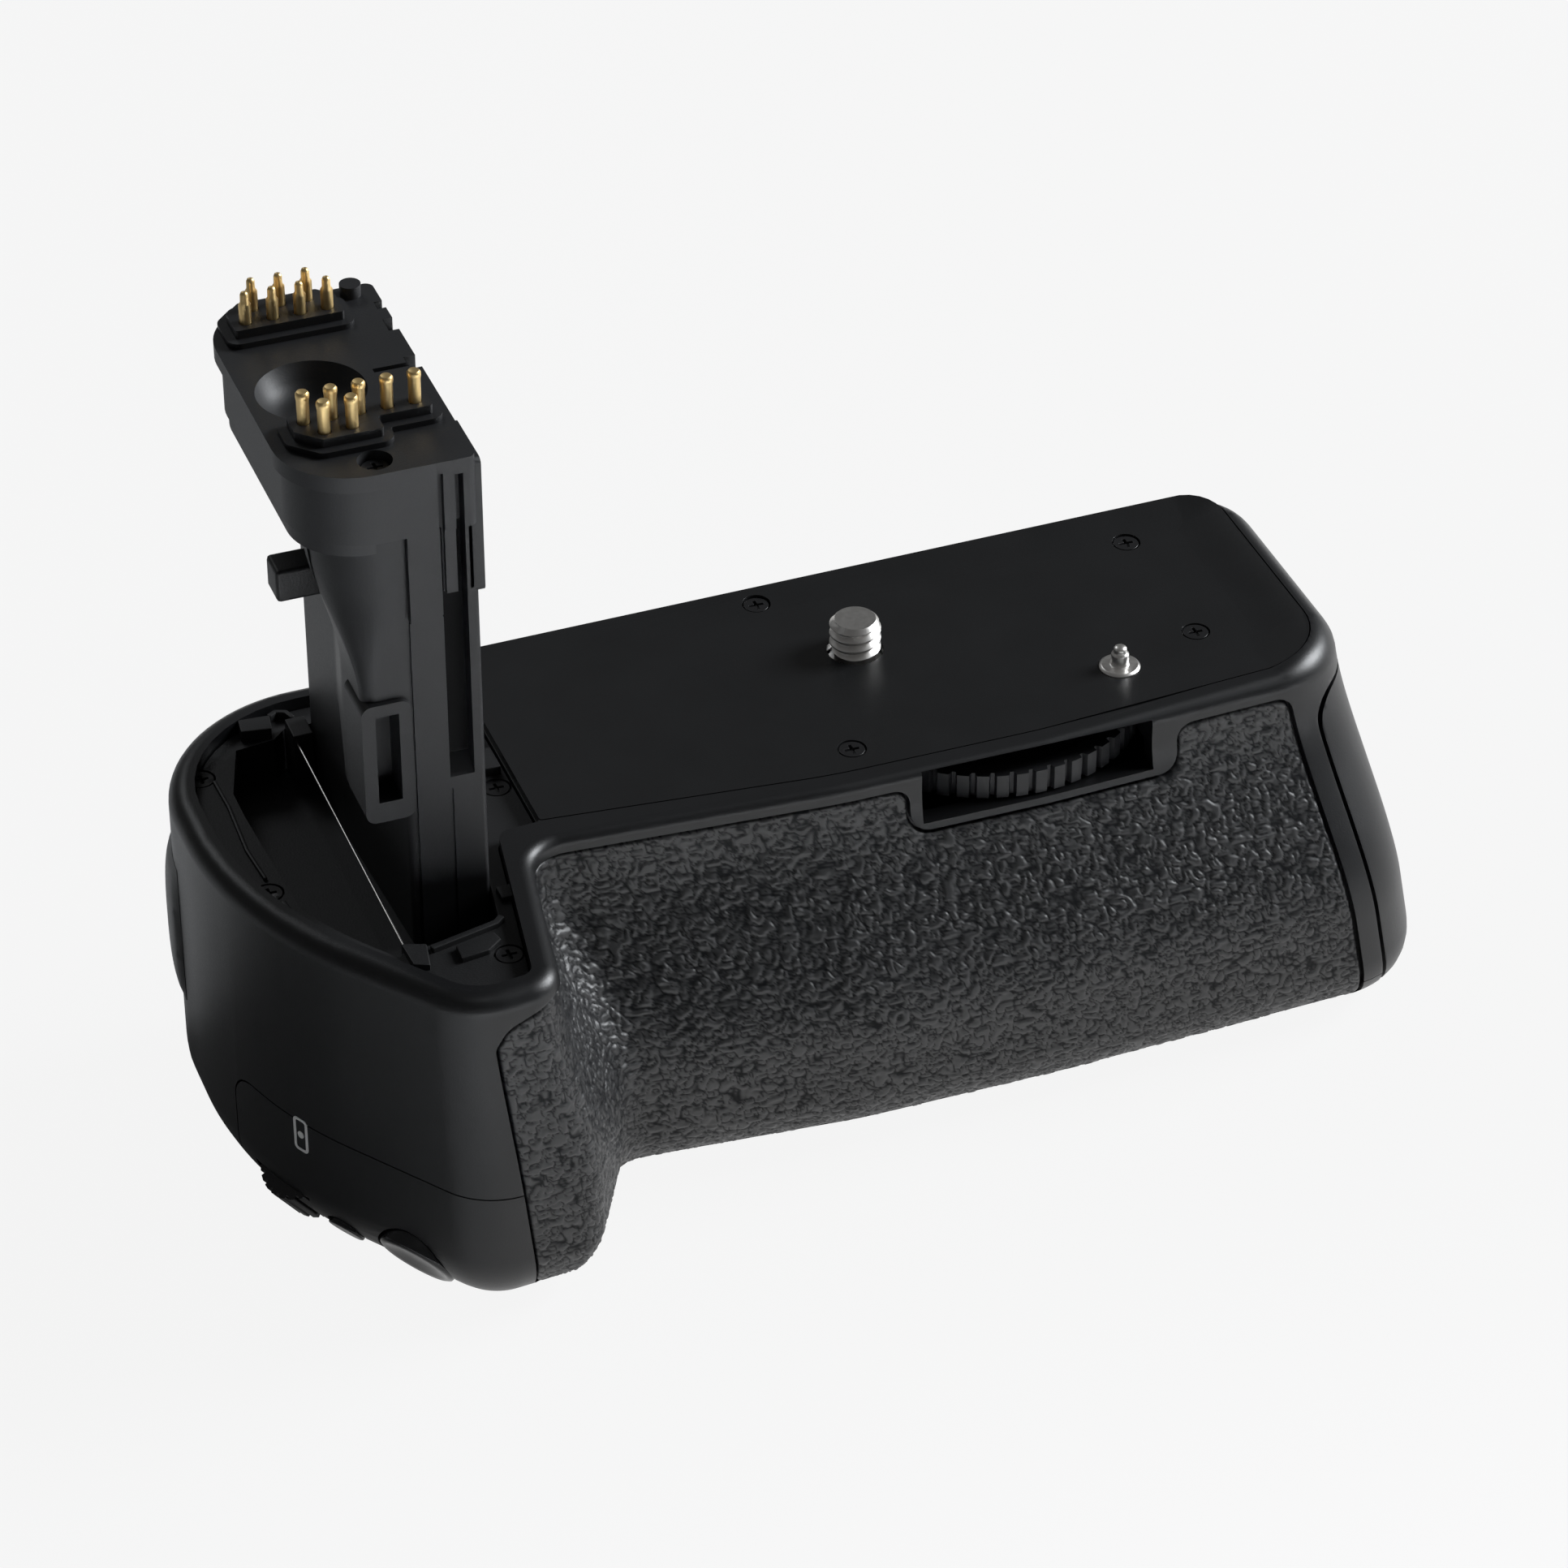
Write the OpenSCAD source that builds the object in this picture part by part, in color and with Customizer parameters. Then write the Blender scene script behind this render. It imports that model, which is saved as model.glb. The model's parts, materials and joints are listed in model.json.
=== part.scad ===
// Camera battery grip: it screws to a camera's base, and its tower fills the camera's battery well.
// The origin is on the camera screw's axis, on the plate that the camera sits on.
// +X runs along the grip to the magazine's end, -Y is the rubber front and +Z is towards the camera.

/* [Body] */
// Reach of the top rim to the right of the camera screw
right_reach = 57; // [50:0.5:64]
// Room to the left of the magazine's channel, for the hand grip's controls
palm_room = 18.9; // [18:0.1:24]
// Reach of the hand grip before the front rim
grip_out = 24.9; // [22:0.1:30]
// Room under the magazine's channel, for the tripod socket
base_room = 5.3; // [5:0.1:9]
// Room behind the magazine's channel
back_room = 0.5; // [0.3:0.1:3]
// How far the front rim lies behind the front of the magazine's channel
front_tuck = 2.5; // [1:0.1:3]
// Outward slope of the right end, per millimetre of depth
end_slope = 0.19; // [0.15:0.01:0.25]
// How far the front swells out below the rim
front_swell = 11.5; // [11:0.5:14]
// How far the hand grip swells out below the rim
grip_swell = 2; // [1:0.5:4]
// Depth at which the swell starts
swell_start = 3; // [2:0.5:4]
// Depth at which the front is fullest
swell_depth = 30; // [26:1:32]
// Radius of the bottom edge
edge_r = 9; // [7:0.5:10]
// Thickness of the casing, rubber included
wall = 2.6; // [2.4:0.1:3]
// Thickness of the rubber
rubber_t = 1.2; // [0.8:0.1:1.4]
// How far the thumb pad stands out
pad_t = 1.3; // [1:0.1:2]

/* [Top] */
// Width of the rim round the plate
rim_w = 3; // [2.5:0.1:4]
// Width of the rim behind the plate
back_rim = 0.6; // [0.5:0.1:1]
// Width of the rim round the door bay
bay_rim = 3.4; // [3:0.1:4]
// Rounding of the rim
rim_round = 1; // [0.5:0.1:1.2]
// Thickness of the plate
plate_t = 1.2; // [1:0.1:1.5]
// Depth of the bay's deck below the plate
bay_deck = 1.6; // [1.2:0.1:2]
// Thickness of the bay's deck
bay_t = 1.4; // [1.2:0.1:2]
// Depth of the bay's floor below the plate
bay_floor = 7.4; // [6:0.2:8]

/* [Attachment] */
// Radius of the camera screw, 1/4 inch
screw_r = 3.175; // [3.175:0.005:3.2]
// Height of the camera screw above the plate
screw_h = 4.5; // [3.5:0.1:5.5]
// Radius of the locating pin
locator_r = 1.1; // [0.9:0.05:1.3]
// Height of the locating pin above the plate
locator_h = 3; // [2.5:0.1:4]
// Radius of the wheel
wheel_r = 20; // [18.5:0.1:20.2]
// Height of the wheel's rim
wheel_h = 3.2; // [2.5:0.1:3.4]
// Depth of the wheel's top below the plate
wheel_top = 3.8; // [3.6:0.1:4.2]
// Place of the wheel's axle to the right of the screw
wheel_x = 13.75; // [13.5:0.05:14.2]
// Ribs round the wheel
wheel_ribs = 52; // [40:1:60]
// Module of the drive gears
gear_module = 0.85; // [0.85:0.005:0.86]
// Teeth of the screw's pinion
screw_teeth = 10; // [10:1:10]
// Teeth of the wheel's gear
wheel_teeth = 26; // [26:1:26]

/* [Tower] */
// Gap between the left end and the tower's head
tower_in = 10; // [9:0.1:14]
// Width of the tower's head
tower_w = 20.7; // [18:0.1:24]
// Depth of the tower's head, front to back
tower_d = 38.5; // [36:0.5:42]
// Front face of the tower before the camera screw
tower_front = 29; // [27:0.5:31]
// Gap between the tower and the plate
tower_gap = 9; // [8:0.1:12]
// Height of the tower's head above the plate
tower_h = 58.5; // [54:0.5:62]
// Height of the head itself
head_h = 9; // [8:0.5:11]
// Wall of the column
column_wall = 1.6; // [1.4:0.1:2]
// Radius of the contact pins
pin_r = 0.75; // [0.6:0.05:0.8]
// Height of the pins above their blocks
pin_h = 4; // [3:0.1:5]
// Height of the contact blocks
block_h = 1.8; // [1.2:0.1:2.5]
// Travel of the contact pins
pin_travel = 1.2; // [0.8:0.1:1.5]

/* [Controls] */
// Radius of the shutter button
shutter_r = 5; // [4.5:0.1:5.5]
// Radius of the small buttons
small_r = 2.4; // [2:0.1:2.6]
// Travel of the shutter button
shutter_travel = 1; // [0.6:0.1:1.2]
// Travel of the small buttons
small_travel = 0.6; // [0.4:0.1:0.8]
// Radius of the dial
dial_r = 5.5; // [5:0.1:5.6]
// Width of the dial
dial_w = 6; // [5:0.2:6.5]
// How far the dial stands out
dial_proud = 1.2; // [0.8:0.1:1.6]
// Ribs round the dial
dial_ribs = 24; // [18:1:30]

/* [Magazine] */
// Length of a standard camera battery
pack_l = 56.8; // [56:0.1:57]
// Width of a standard camera battery
pack_w = 38.4; // [38:0.1:38.6]
// Thickness of a standard camera battery
pack_t = 21; // [20:0.1:21.2]
// Wall of the magazine's tray
tray_wall = 0.9; // [0.8:0.1:1]
// Height of the tray's sides above its floor
tray_side = 14; // [8:1:18]
// Radius of the lock knob
knob_r = 8; // [6:0.5:9]
// Height of the lock knob's disc
knob_h = 3; // [2.5:0.1:3.5]
// Radius of the tripod socket's thread, 1/4 inch
socket_r = 2.55; // [2.5:0.01:2.6]
// Depth of the tripod socket's thread
socket_h = 6.5; // [5:0.1:7]

/* [Fits] */
// Gap at the seams of the casing
seam = 0.12; // [0.1:0.01:0.2]
// Gap round pieces that move
clear = 0.3; // [0.25:0.01:0.35]
// Gap round a turning shaft
running = 0.05; // [0.03:0.01:0.08]

/* [Hidden] */
$fn = 48;

// Colours
shell_colour = [0.16, 0.16, 0.17];
rubber_colour = [0.2, 0.2, 0.21];
plate_colour = [0.1, 0.1, 0.11];
steel_colour = [0.75, 0.73, 0.7];
gilt_colour = [0.85, 0.66, 0.3];
board_colour = [0.1, 0.3, 0.18];
button_colour = [0.12, 0.12, 0.13];
switch_colour = [0.5, 0.5, 0.5];
frame_colour = [0.3, 0.3, 0.32];

// Small sizes that only help the making
eps = 0.01;
far = 200;
arc_steps = 4;
least_r = 0.3;
mesh_fn = 24;

// The magazine's channel
chamber_y = -7.6;
play = 0.3;
deck_top = -12.5;
deck_t = 1;
channel_t = 0.8;
head_gap = 1;
tray_floor = 1.2;
pack_low = deck_top - deck_t - head_gap - pack_t;
tray_low = pack_low - play - tray_floor;
channel_low = tray_low - clear;
cell_l = pack_l + 2 * play;
cell_w = pack_w + 2 * play;
tray_w = cell_w + 2 * tray_wall;
channel_w = tray_w + 2 * clear;
mouth_x = right_reach - 7.2;
tray_right = mouth_x + 1.6;
tray_left = tray_right - 2 * cell_l - 3 * tray_wall;
contact_room = 1.2;
channel_left = tray_left - contact_room;
channel_right = mouth_x - 0.4;
channel_front_top = deck_top - 8;
channel_lip = 4;

// Reaches of the body and the tower from the camera screw, which follow the magazine's channel
left_reach = palm_room - channel_left + channel_t;
back_reach = chamber_y + channel_w / 2 + channel_t + back_room + wall;
front_reach = channel_w / 2 + channel_t - chamber_y - front_tuck;
grip_reach = front_reach + grip_out;
body_h = channel_t - channel_low + base_room + wall;
tower_left = left_reach - tower_in;
tower_right = tower_left - tower_w;
tower_back = tower_d - tower_front;
plate_left = tower_right - tower_gap;

// Plan of the body: corners that the swell doesn't move
back_right_r = 8;
back_left_r = 20;
palm_y = grip_reach - 27.5;
palm_r = 52;
nose_x = left_reach - 21;
nose_r = 9;
heel_x = left_reach - 32.5;
heel_y = grip_reach - 1.2;
heel_r = 5;
heel_lean = 3;
waist_x = left_reach - 37;
waist_y = front_reach - 2.6;
waist_lean = 7.5;
waist_r = 5;
crown_left = 12;
crown_right = 14;
crown_r = 80;
shoulder_y = front_reach - 2;
shoulder_r = 12;
heart = [27 - left_reach, -12];

// Heights, all measured from the plate's top
bottom_z = -body_h;
floor_z = bottom_z + wall;
plate_z = -plate_t;
ledge_w = 1.6;
deck_z = -bay_deck - bay_t;
cavity_top = deck_z - ledge_w;
side_steps = 5;
edge_angles = [0, 30, 60, 90];

// Seams of the casing
bottom_seam = bottom_z + 5.5;
rear_seam = 5;
rear_top = -3.2;
mouth_top = -4;
rubber_right = mouth_x - 3.3;
rubber_top = -2.4;
rubber_bottom = bottom_z + 1.8;
control_top = bottom_z + 18.5;
control_near = -3.5;
control_far = 41;
control_deep = 13;
control_round = 4;

// The slot that the wheel shows in
slot_left = -1;
slot_right = 28;
slot_top = -1.7;
wheel_bottom = -wheel_top - wheel_h;
slot_bottom = wheel_bottom - clear;
slot_frame = 3;

// The gear pair
centre_distance = gear_module * (screw_teeth + wheel_teeth) / 2;
wheel_y = -sqrt(pow(centre_distance, 2) - pow(wheel_x, 2));
pressure_angle = 25;
stub_height = 0.75;
root_depth = 1;
backlash = 0.14;
gear_top = plate_z - clear;
gear_bottom = -wheel_top + 0.3;
journal_r = 2.2;
screw_neck_r = screw_r - 0.2;
axle_r = 2;

// Fasteners
screw_shank_r = 0.95;
screw_head_r = 1.55;
screw_head_h = 0.75;
post_r = 1.9;
boss_r = 2.6;
boss_h = 9;
plate_screw_at = [[-8, 13.2], [40.3, 9.9], [40.5, -11.2], [-7.9, -19.5]];
bay_screw_in = [[5.2, 3.9], [6.5, 3.5 - palm_y], [28.9, 10.3 - grip_reach]];
bay_screw_right = [-plate_left - 2.1, -10];
base_screw_x = [47 - left_reach, right_reach - 21];
base_screw_y = [chamber_y - 12.4, chamber_y + 11.6];
base_screw_at = [for (x = base_screw_x, y = base_screw_y) [x, y]];
base_head_r = 2;
base_head_h = 1.4;
locator_at = [28.8, -14.8];
locator_flange_r = 2.55;
socket_at = [0, chamber_y];
socket_wall_r = 5;
socket_flange_r = 7;
socket_flange_h = 1.4;

// Small vector helpers
function unit(v) = v / norm(v);
function left_of(d) = [-d.y, d.x];
function turn_of(a, b) = a.x * b.y - a.y * b.x;
function way(from, to) = unit([to.x - from.x, to.y - from.y]);
function before(c, i) = c[(i + len(c) - 1) % len(c)];
function after(c, i) = c[(i + 1) % len(c)];
function clamp01(s) = min(max(s, 0), 1);
function bay_screw_place(i) = i < 3 ? bay_screw_in[i] - [left_reach, 0] : bay_screw_right;
function lift(ring, z) = [for (p = ring) [p.x, p.y, z]];

// A list of corners [x, y, radius], moved inwards by t
function inset(c, t) = [
  for (i = [0:len(c) - 1])
    let (
      d1 = way(before(c, i), c[i]),
      d2 = way(c[i], after(c, i)),
      m = (left_of(d1) + left_of(d2)) / (1 + d1 * d2),
      r = c[i][2] - t * sign(turn_of(d1, d2))
    )
      [c[i].x + t * m.x, c[i].y + t * m.y, max(r, least_r)]
];

// The points round one corner, between the ways in and out of it
function corner_arc(p, d1, d2, n) =
  let (
    side = sign(turn_of(d1, d2)),
    angle = acos(d1 * d2),
    start = [p.x, p.y] - d1 * p[2] * tan(angle / 2),
    centre = start + left_of(d1) * side * p[2],
    arm = start - centre
  )
    [
      for (k = [0:n])
        let (a = side * angle * k / n)
          centre + [arm.x * cos(a) - arm.y * sin(a), arm.x * sin(a) + arm.y * cos(a)]
    ];

// The closed outline of a list of corners
function outline(c, n = arc_steps) = [
  for (i = [0:len(c) - 1])
    each corner_arc(c[i], way(before(c, i), c[i]), way(c[i], after(c, i)), n)
];

// How far the sides have swelled at a height, from 0 to 1
function swell(z) =
  let (s = clamp01((-z - swell_start) / (swell_depth - swell_start)))
    s * s * (3 - 2 * s);

// The body's corners at a height, anticlockwise from the back right
function body_corners(z) =
  let (w = swell(z), right = right_reach + end_slope * max(-z, 0), front = front_swell * w)
    [
      [right, back_reach, back_right_r],
      [-left_reach, back_reach, back_left_r],
      [-left_reach, -palm_y, palm_r],
      [-nose_x, -grip_reach - grip_swell * w, nose_r],
      [-heel_x + heel_lean * w, -heel_y - grip_swell * w, heel_r],
      [-waist_x + waist_lean * w, -waist_y - front, waist_r],
      [-crown_left, -front_reach - front, crown_r],
      [crown_right, -front_reach - front, crown_r],
      [right, -shoulder_y - front, shoulder_r]
    ];

// The plate's corners and the bay's corners
function plate_corners() = [
  [right_reach - rim_w, back_reach - back_rim, back_right_r - rim_w],
  [-plate_left, back_reach - back_rim, least_r],
  [-plate_left, -waist_y + rim_w + 1, least_r],
  [-crown_left, -front_reach + rim_w, crown_r],
  [crown_right, -front_reach + rim_w, crown_r],
  [right_reach - rim_w, -shoulder_y + rim_w, shoulder_r - rim_w]
];
function bay_corners() =
  let (b = inset(body_corners(0), bay_rim), right = -plate_left - clear)
    [
      [right, b[1].y, least_r],
      b[1], b[2], b[3], b[4],
      [b[5].x, b[5].y, 2],
      [right, b[5].y + least_r, least_r]
    ];

// Levels [height, inset] of the body and of the hollow inside it
function side_levels() = [
  for (k = [0:side_steps]) -swell_start - (swell_depth - swell_start) * k / side_steps
];
function edge_levels(low, r) = [
  for (a = edge_angles) [low + r * (1 - sin(a)), r * (1 - cos(a))]
];
function body_levels() = concat(
  [[0, rim_round], [-rim_round, 0]],
  [for (z = side_levels()) [z, 0]],
  edge_levels(bottom_z, edge_r)
);
function hollow_levels() = concat(
  [[cavity_top, 0]],
  [for (z = side_levels()) if (z < cavity_top) [z, 0]],
  edge_levels(floor_z, edge_r - wall)
);

// A solid through rings of points, each ring with as many points as the next
module ring_solid(rings) {
  n = len(rings[0]);
  last = len(rings) - 1;
  top = (last + 1) * n;
  points = concat(
    [for (r = rings) each r],
    [[heart.x, heart.y, rings[0][0].z], [heart.x, heart.y, rings[last][0].z]]
  );
  sides = [
    for (i = [0:last - 1], j = [0:n - 1])
      let (k = (j + 1) % n, a = i * n, b = (i + 1) * n)
        each [[a + j, a + k, b + k], [a + j, b + k, b + j]]
  ];
  lids = [
    for (j = [0:n - 1])
      let (k = (j + 1) % n)
        each [[top, k, j], [top + 1, last * n + j, last * n + k]]
  ];
  polyhedron(points, concat(sides, lids));
}

// The whole body, with its sides moved inwards by t
module body(t = 0) {
  ring_solid([for (l = body_levels()) lift(outline(inset(body_corners(l[0]), l[1] + t)), l[0])]);
}

// The hollow inside the casing
module hollow() {
  ring_solid([for (l = hollow_levels()) lift(outline(inset(body_corners(l[0]), l[1] + wall)), l[0])]);
}

// The casing before it is split, open at the top for the plate and the bay
module casing() {
  difference() {
    body();
    hollow();
    prism(inset(plate_corners(), -seam), plate_z, 1);
    prism(inset(plate_corners(), ledge_w), cavity_top - 1, 1);
    prism(inset(bay_corners(), -seam), deck_z, 1);
    difference() {
      prism(inset(bay_corners(), ledge_w), cavity_top - 1, 1);
      bay_bosses(0);
    }
    for (p = concat(plate_screw_at, [bay_screw_place(3)]))
      translate([p.x, p.y, deck_top]) cylinder(r = post_r + seam, h = -deck_top, $fn = mesh_fn);
  }
}

// A prism of a corner list from one height to another
module prism(corners, low, high) {
  translate([0, 0, low]) linear_extrude(high - low) polygon(outline(corners));
}

// A box from one corner to the other
module box(low, high) {
  translate(low) cube(high - low);
}

// A polygon of [x, z] points, pulled out along Y
module side_prism(points, y_low, y_high) {
  translate([0, y_high, 0]) rotate([90, 0, 0]) linear_extrude(y_high - y_low) polygon(points);
}

// The magazine cap's share of the body, grown by g
module end_zone(g) {
  top = mouth_top + g;
  low = bottom_z - 1;
  x = mouth_x - g;
  side_prism([[x - end_slope * top, top], [x - end_slope * low, low], [far, low], [far, top]], -far, far);
}

// The bottom cover's share, grown by g
module bottom_zone(g) {
  box([-far, -far, bottom_z - 1], [far, far, bottom_seam + g]);
}

// The rear cover's share, grown by g
module rear_zone(g) {
  box([-far, rear_seam - g, bottom_z - 1], [far, far, rear_top + g]);
}

// Place on the hand grip's lower edge: u along its wall from the palm corner, at an angle below level
lower_corners = body_corners(-swell_depth);
palm = lower_corners[2];
nose = lower_corners[3];
wall_way = way(palm, nose);
wall_az = atan2(-wall_way.x, wall_way.y);
palm_bend = palm_r * tan(acos(wall_way * [0, -1]) / 2);
function bend_at(u) = max(palm_bend - u, 0);
function edge_az(u) = wall_az - bend_at(u) / palm_r * 180 / PI;
function edge_place(u, dip) =
  let (
    drop = edge_r * (1 - cos(dip)) + pow(bend_at(u), 2) / (2 * palm_r),
    out = [cos(wall_az), sin(wall_az)],
    p = [palm.x, palm.y] + wall_way * u - out * drop
  )
    [p.x, p.y, bottom_z + edge_r * (1 - sin(dip))];

// Children drawn with +Z out of the hand grip's lower edge, and +Y along it
module on_edge(u, dip) {
  translate(edge_place(u, dip)) rotate([0, 90 + dip, edge_az(u)]) children();
}

// The control cover's share, grown by g
module control_zone(g) {
  near = control_near - g;
  end = control_far + g;
  centre = [near + control_round, control_top + g - control_round];
  corner = [for (a = [90:30:180]) centre + control_round * [cos(a), sin(a)]];
  points = concat([[near, bottom_z - 1], [end, bottom_z - 1], [end, control_top + g]], corner);
  translate([palm.x, palm.y, 0]) rotate([0, 0, wall_az]) translate([-control_deep - g, 0, 0])
    rotate([90, 0, 90]) linear_extrude(far) polygon(points);
}

// The rubber's share of the front, grown by g, as a prism that the skin is cut from
foot_left = heel_x + 8.5;
module rubber_zone(g) {
  low = rubber_bottom;
  right_low = rubber_right - end_slope * low;
  y_back = -shoulder_y + 10;
  points = [
    [-foot_left + 4, low], [right_low, low], [rubber_right - end_slope * rubber_top, rubber_top],
    [slot_right + slot_frame, rubber_top], [slot_right + slot_frame, slot_bottom - 0.6],
    [slot_left - slot_frame, slot_bottom - 0.6], [slot_left - slot_frame, rubber_top],
    [-heel_x - 1, rubber_top], [-foot_left + 1.5, rubber_top - 2.2], [-foot_left, rubber_top - 4.6]
  ];
  translate([0, y_back, 0]) rotate([90, 0, 0]) linear_extrude(far) offset(delta = g) polygon(points);
}

// What the rubber takes from the casing
module rubber_bed() {
  difference() {
    rubber_zone(seam);
    body(rubber_t + 0.05);
  }
}

// Bosses in the casing for the bay's screws, grown by g
module bay_bosses(g) {
  for (i = [0:2])
    translate([bay_screw_place(i).x, bay_screw_place(i).y, deck_z - boss_h])
      cylinder(r = boss_r + g, h = boss_h, $fn = mesh_fn);
}

// Stiffening ribs up the inside of the casing's left end
rib_count = 8;
rib_r = 0.6;
module shell_ribs() {
  low = control_top + 2;
  high = cavity_top - 1;
  for (i = [0:rib_count - 1]) {
    y = -16 + i * 2.4;
    x = -left_reach + wall + 1.2;
    hull() {
      translate([x - 2, y, low]) cylinder(r = rib_r, h = high - low, $fn = 8);
      translate([x, y, low]) cylinder(r = rib_r, h = high - low, $fn = 8);
    }
  }
}

// Casing
module main_shell() {
  color(shell_colour) difference() {
    union() {
      casing();
      intersection() {
        body(1);
        union() {
          bay_bosses(0);
          shell_ribs();
        }
      }
    }
    for (i = [0:2])
      translate([bay_screw_place(i).x, bay_screw_place(i).y, deck_z - boss_h + 1])
        cylinder(r = screw_shank_r, h = boss_h, $fn = mesh_fn);
    translate([wheel_x, wheel_y, slot_bottom])
      cylinder(r = wheel_r + 2 * clear, h = wheel_h + 2 * clear, $fn = 96);
    box([slot_left, -front_reach - 5, slot_bottom], [slot_right, -front_reach + 8, slot_top]);
    rubber_bed();
    end_zone(seam);
    control_zone(seam);
    bottom_zone(seam);
    rear_zone(seam);
  }
}

rear_button_at = [110, 127, 144];
rear_button_up = [8.8, 14, 8.8];
boss_depth = 4.2;

// Children drawn with +Z out of the back-left corner, where rear button k is
module on_corner(k) {
  angle = rear_button_at[k];
  centre = [-left_reach + back_left_r, back_reach - back_left_r];
  place = centre + back_left_r * [cos(angle), sin(angle)];
  translate([place.x, place.y, bottom_z + rear_button_up[k]]) rotate([0, 90, angle]) children();
}

// A button's guide: a boss that is cut by the casing's outside
module button_boss(r) {
  translate([0, 0, -boss_depth]) cylinder(r = r + 1.6, h = boss_depth + 2);
}
module button_hole(r) {
  room = button_length + flange_h + shutter_travel + clear - boss_depth;
  translate([0, 0, -boss_depth - eps]) cylinder(r = r + clear, h = boss_depth + 4);
  translate([0, 0, -boss_depth - room]) cylinder(r = r + flange_w + clear, h = room);
}

module rear_cover() {
  color(shell_colour) difference() {
    intersection() {
      union() {
        casing();
        intersection() {
          body();
          for (k = [0:2]) on_corner(k) button_boss(small_r);
        }
      }
      rear_zone(0);
    }
    for (k = [0:2]) on_corner(k) button_hole(small_r);
    translate(lever_at) rotate([-90, 0, 0]) translate([0, 0, -lever_pin_h - clear])
      cylinder(r = lever_pin_r + running, h = lever_pin_h + 2);
    end_zone(seam);
    control_zone(seam);
    bottom_zone(seam);
  }
}

// Places of the front controls along the hand grip's lower edge
shutter_u = 24.8;
shutter_dip = 32;
area_u = 14.2;
area_dip = 36;
dial_u = 4.9;
dial_dip = 36;
button_length = boss_depth + 0.6;
flange_h = 0.8;
shutter_proud = 0.2;
area_proud = 0.3;
rear_proud = 0.4;
flange_w = 0.5;

module bottom_cover() {
  color(shell_colour) difference() {
    union() {
      intersection() {
        casing();
        bottom_zone(0);
      }
      for (p = base_screw_at)
        translate([p.x, p.y, floor_z - 1]) cylinder(r = post_r + 0.9, h = 1 + 1.3);
    }
    for (p = base_screw_at) translate([p.x, p.y, bottom_z - 1]) {
      cylinder(r = base_head_r + clear, h = 1 + base_head_h + 0.2);
      cylinder(r = screw_shank_r + clear, h = 8);
    }
    translate([socket_at.x, socket_at.y, bottom_z - 1]) cylinder(r = socket_wall_r + running, h = 8);
    rubber_bed();
    end_zone(seam);
    control_zone(seam);
  }
}

module control_cover() {
  color(shell_colour) difference() {
    intersection() {
      union() {
        casing();
        intersection() {
          body();
          union() {
            on_edge(shutter_u, shutter_dip) button_boss(shutter_r);
            on_edge(area_u, area_dip) button_boss(small_r);
            on_edge(dial_u, dial_dip) dial_cheeks();
          }
        }
      }
      control_zone(0);
    }
    on_edge(shutter_u, shutter_dip) button_hole(shutter_r);
    on_edge(area_u, area_dip) button_hole(small_r);
    on_edge(dial_u, dial_dip) dial_pocket();
    rubber_bed();
    end_zone(seam);
  }
}

// The dial's bearings and the pocket that it turns in
cheek_t = 1.2;
module dial_cheeks() {
  translate([0, 0, dial_proud - dial_r]) rotate([0, 90, 0])
    cylinder(r = dial_r - 1.6, h = dial_w + 2 * clear + 2 * cheek_t, center = true);
}
module dial_pocket() {
  translate([0, 0, dial_proud - dial_r]) rotate([0, 90, 0]) {
    cylinder(r = dial_r + 2 * clear, h = dial_w + 2 * clear, center = true);
    cylinder(r = dial_pin_r, h = dial_w + 2 * clear + 2 * cheek_t + 1, center = true);
  }
}
dial_pin_r = 1;

// Rubber
module front_grip() {
  color(rubber_colour) difference() {
    intersection() {
      body();
      rubber_zone(0);
    }
    body(rubber_t);
  }
}

pad_low = -29;
pad_high = -9.5;
pad_right = -left_reach + back_left_r + 9;
pad_front = 3;
module rear_thumb_pad() {
  color(rubber_colour) difference() {
    intersection() {
      body(-pad_t);
      box([-far, pad_front, pad_low], [pad_right, far, pad_high]);
    }
    body(-0.05);
  }
}

// Plate and bay
module screw_seat(at, top) {
  translate([at.x, at.y, top - screw_head_h - 0.05]) cylinder(r = screw_head_r + 0.15, h = 3);
  translate([at.x, at.y, top - 5]) cylinder(r = screw_shank_r + 0.15, h = 6);
}

module top_plate() {
  color(plate_colour) difference() {
    prism(plate_corners(), plate_z, 0);
    for (p = plate_screw_at) screw_seat(p, 0);
    translate([0, 0, plate_z - 1]) cylinder(r = screw_r + clear, h = plate_t + 2);
    translate([locator_at.x, locator_at.y, plate_z - 1])
      cylinder(r = locator_flange_r + running, h = plate_t + 2);
  }
}

pocket_wall = 1.2;
pocket_left = left_reach - 7;
pocket_right = tower_right - 1.3;
pocket_front = tower_front + 2;
pocket_back = tower_back + 0.8;
module pocket_space(g, low, high) {
  difference() {
    intersection() {
      prism(inset(bay_corners(), ledge_w + seam + pocket_wall - g), low, high);
      box([-pocket_left - g, -pocket_front - g, low], [-pocket_right + g, pocket_back + g, high]);
    }
    bay_bosses(seam + pocket_wall - g);
  }
}

// Clips that hold the camera's door by its hinge pin, at the bay's back and front
clip_h = 2.2;
clip_t = 1.2;
clip_l = 2;
clip_gap = 1.8;
module door_clips() {
  back = [-tower_left + 6, tower_back + 1.2];
  front = [-tower_left + 15, -tower_front - 7];
  for (at = [back, front], k = [0, 1])
    translate([at.x + k * (clip_t + clip_gap), at.y, -bay_deck - 0.2]) cube([clip_t, clip_l, clip_h]);
}

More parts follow.
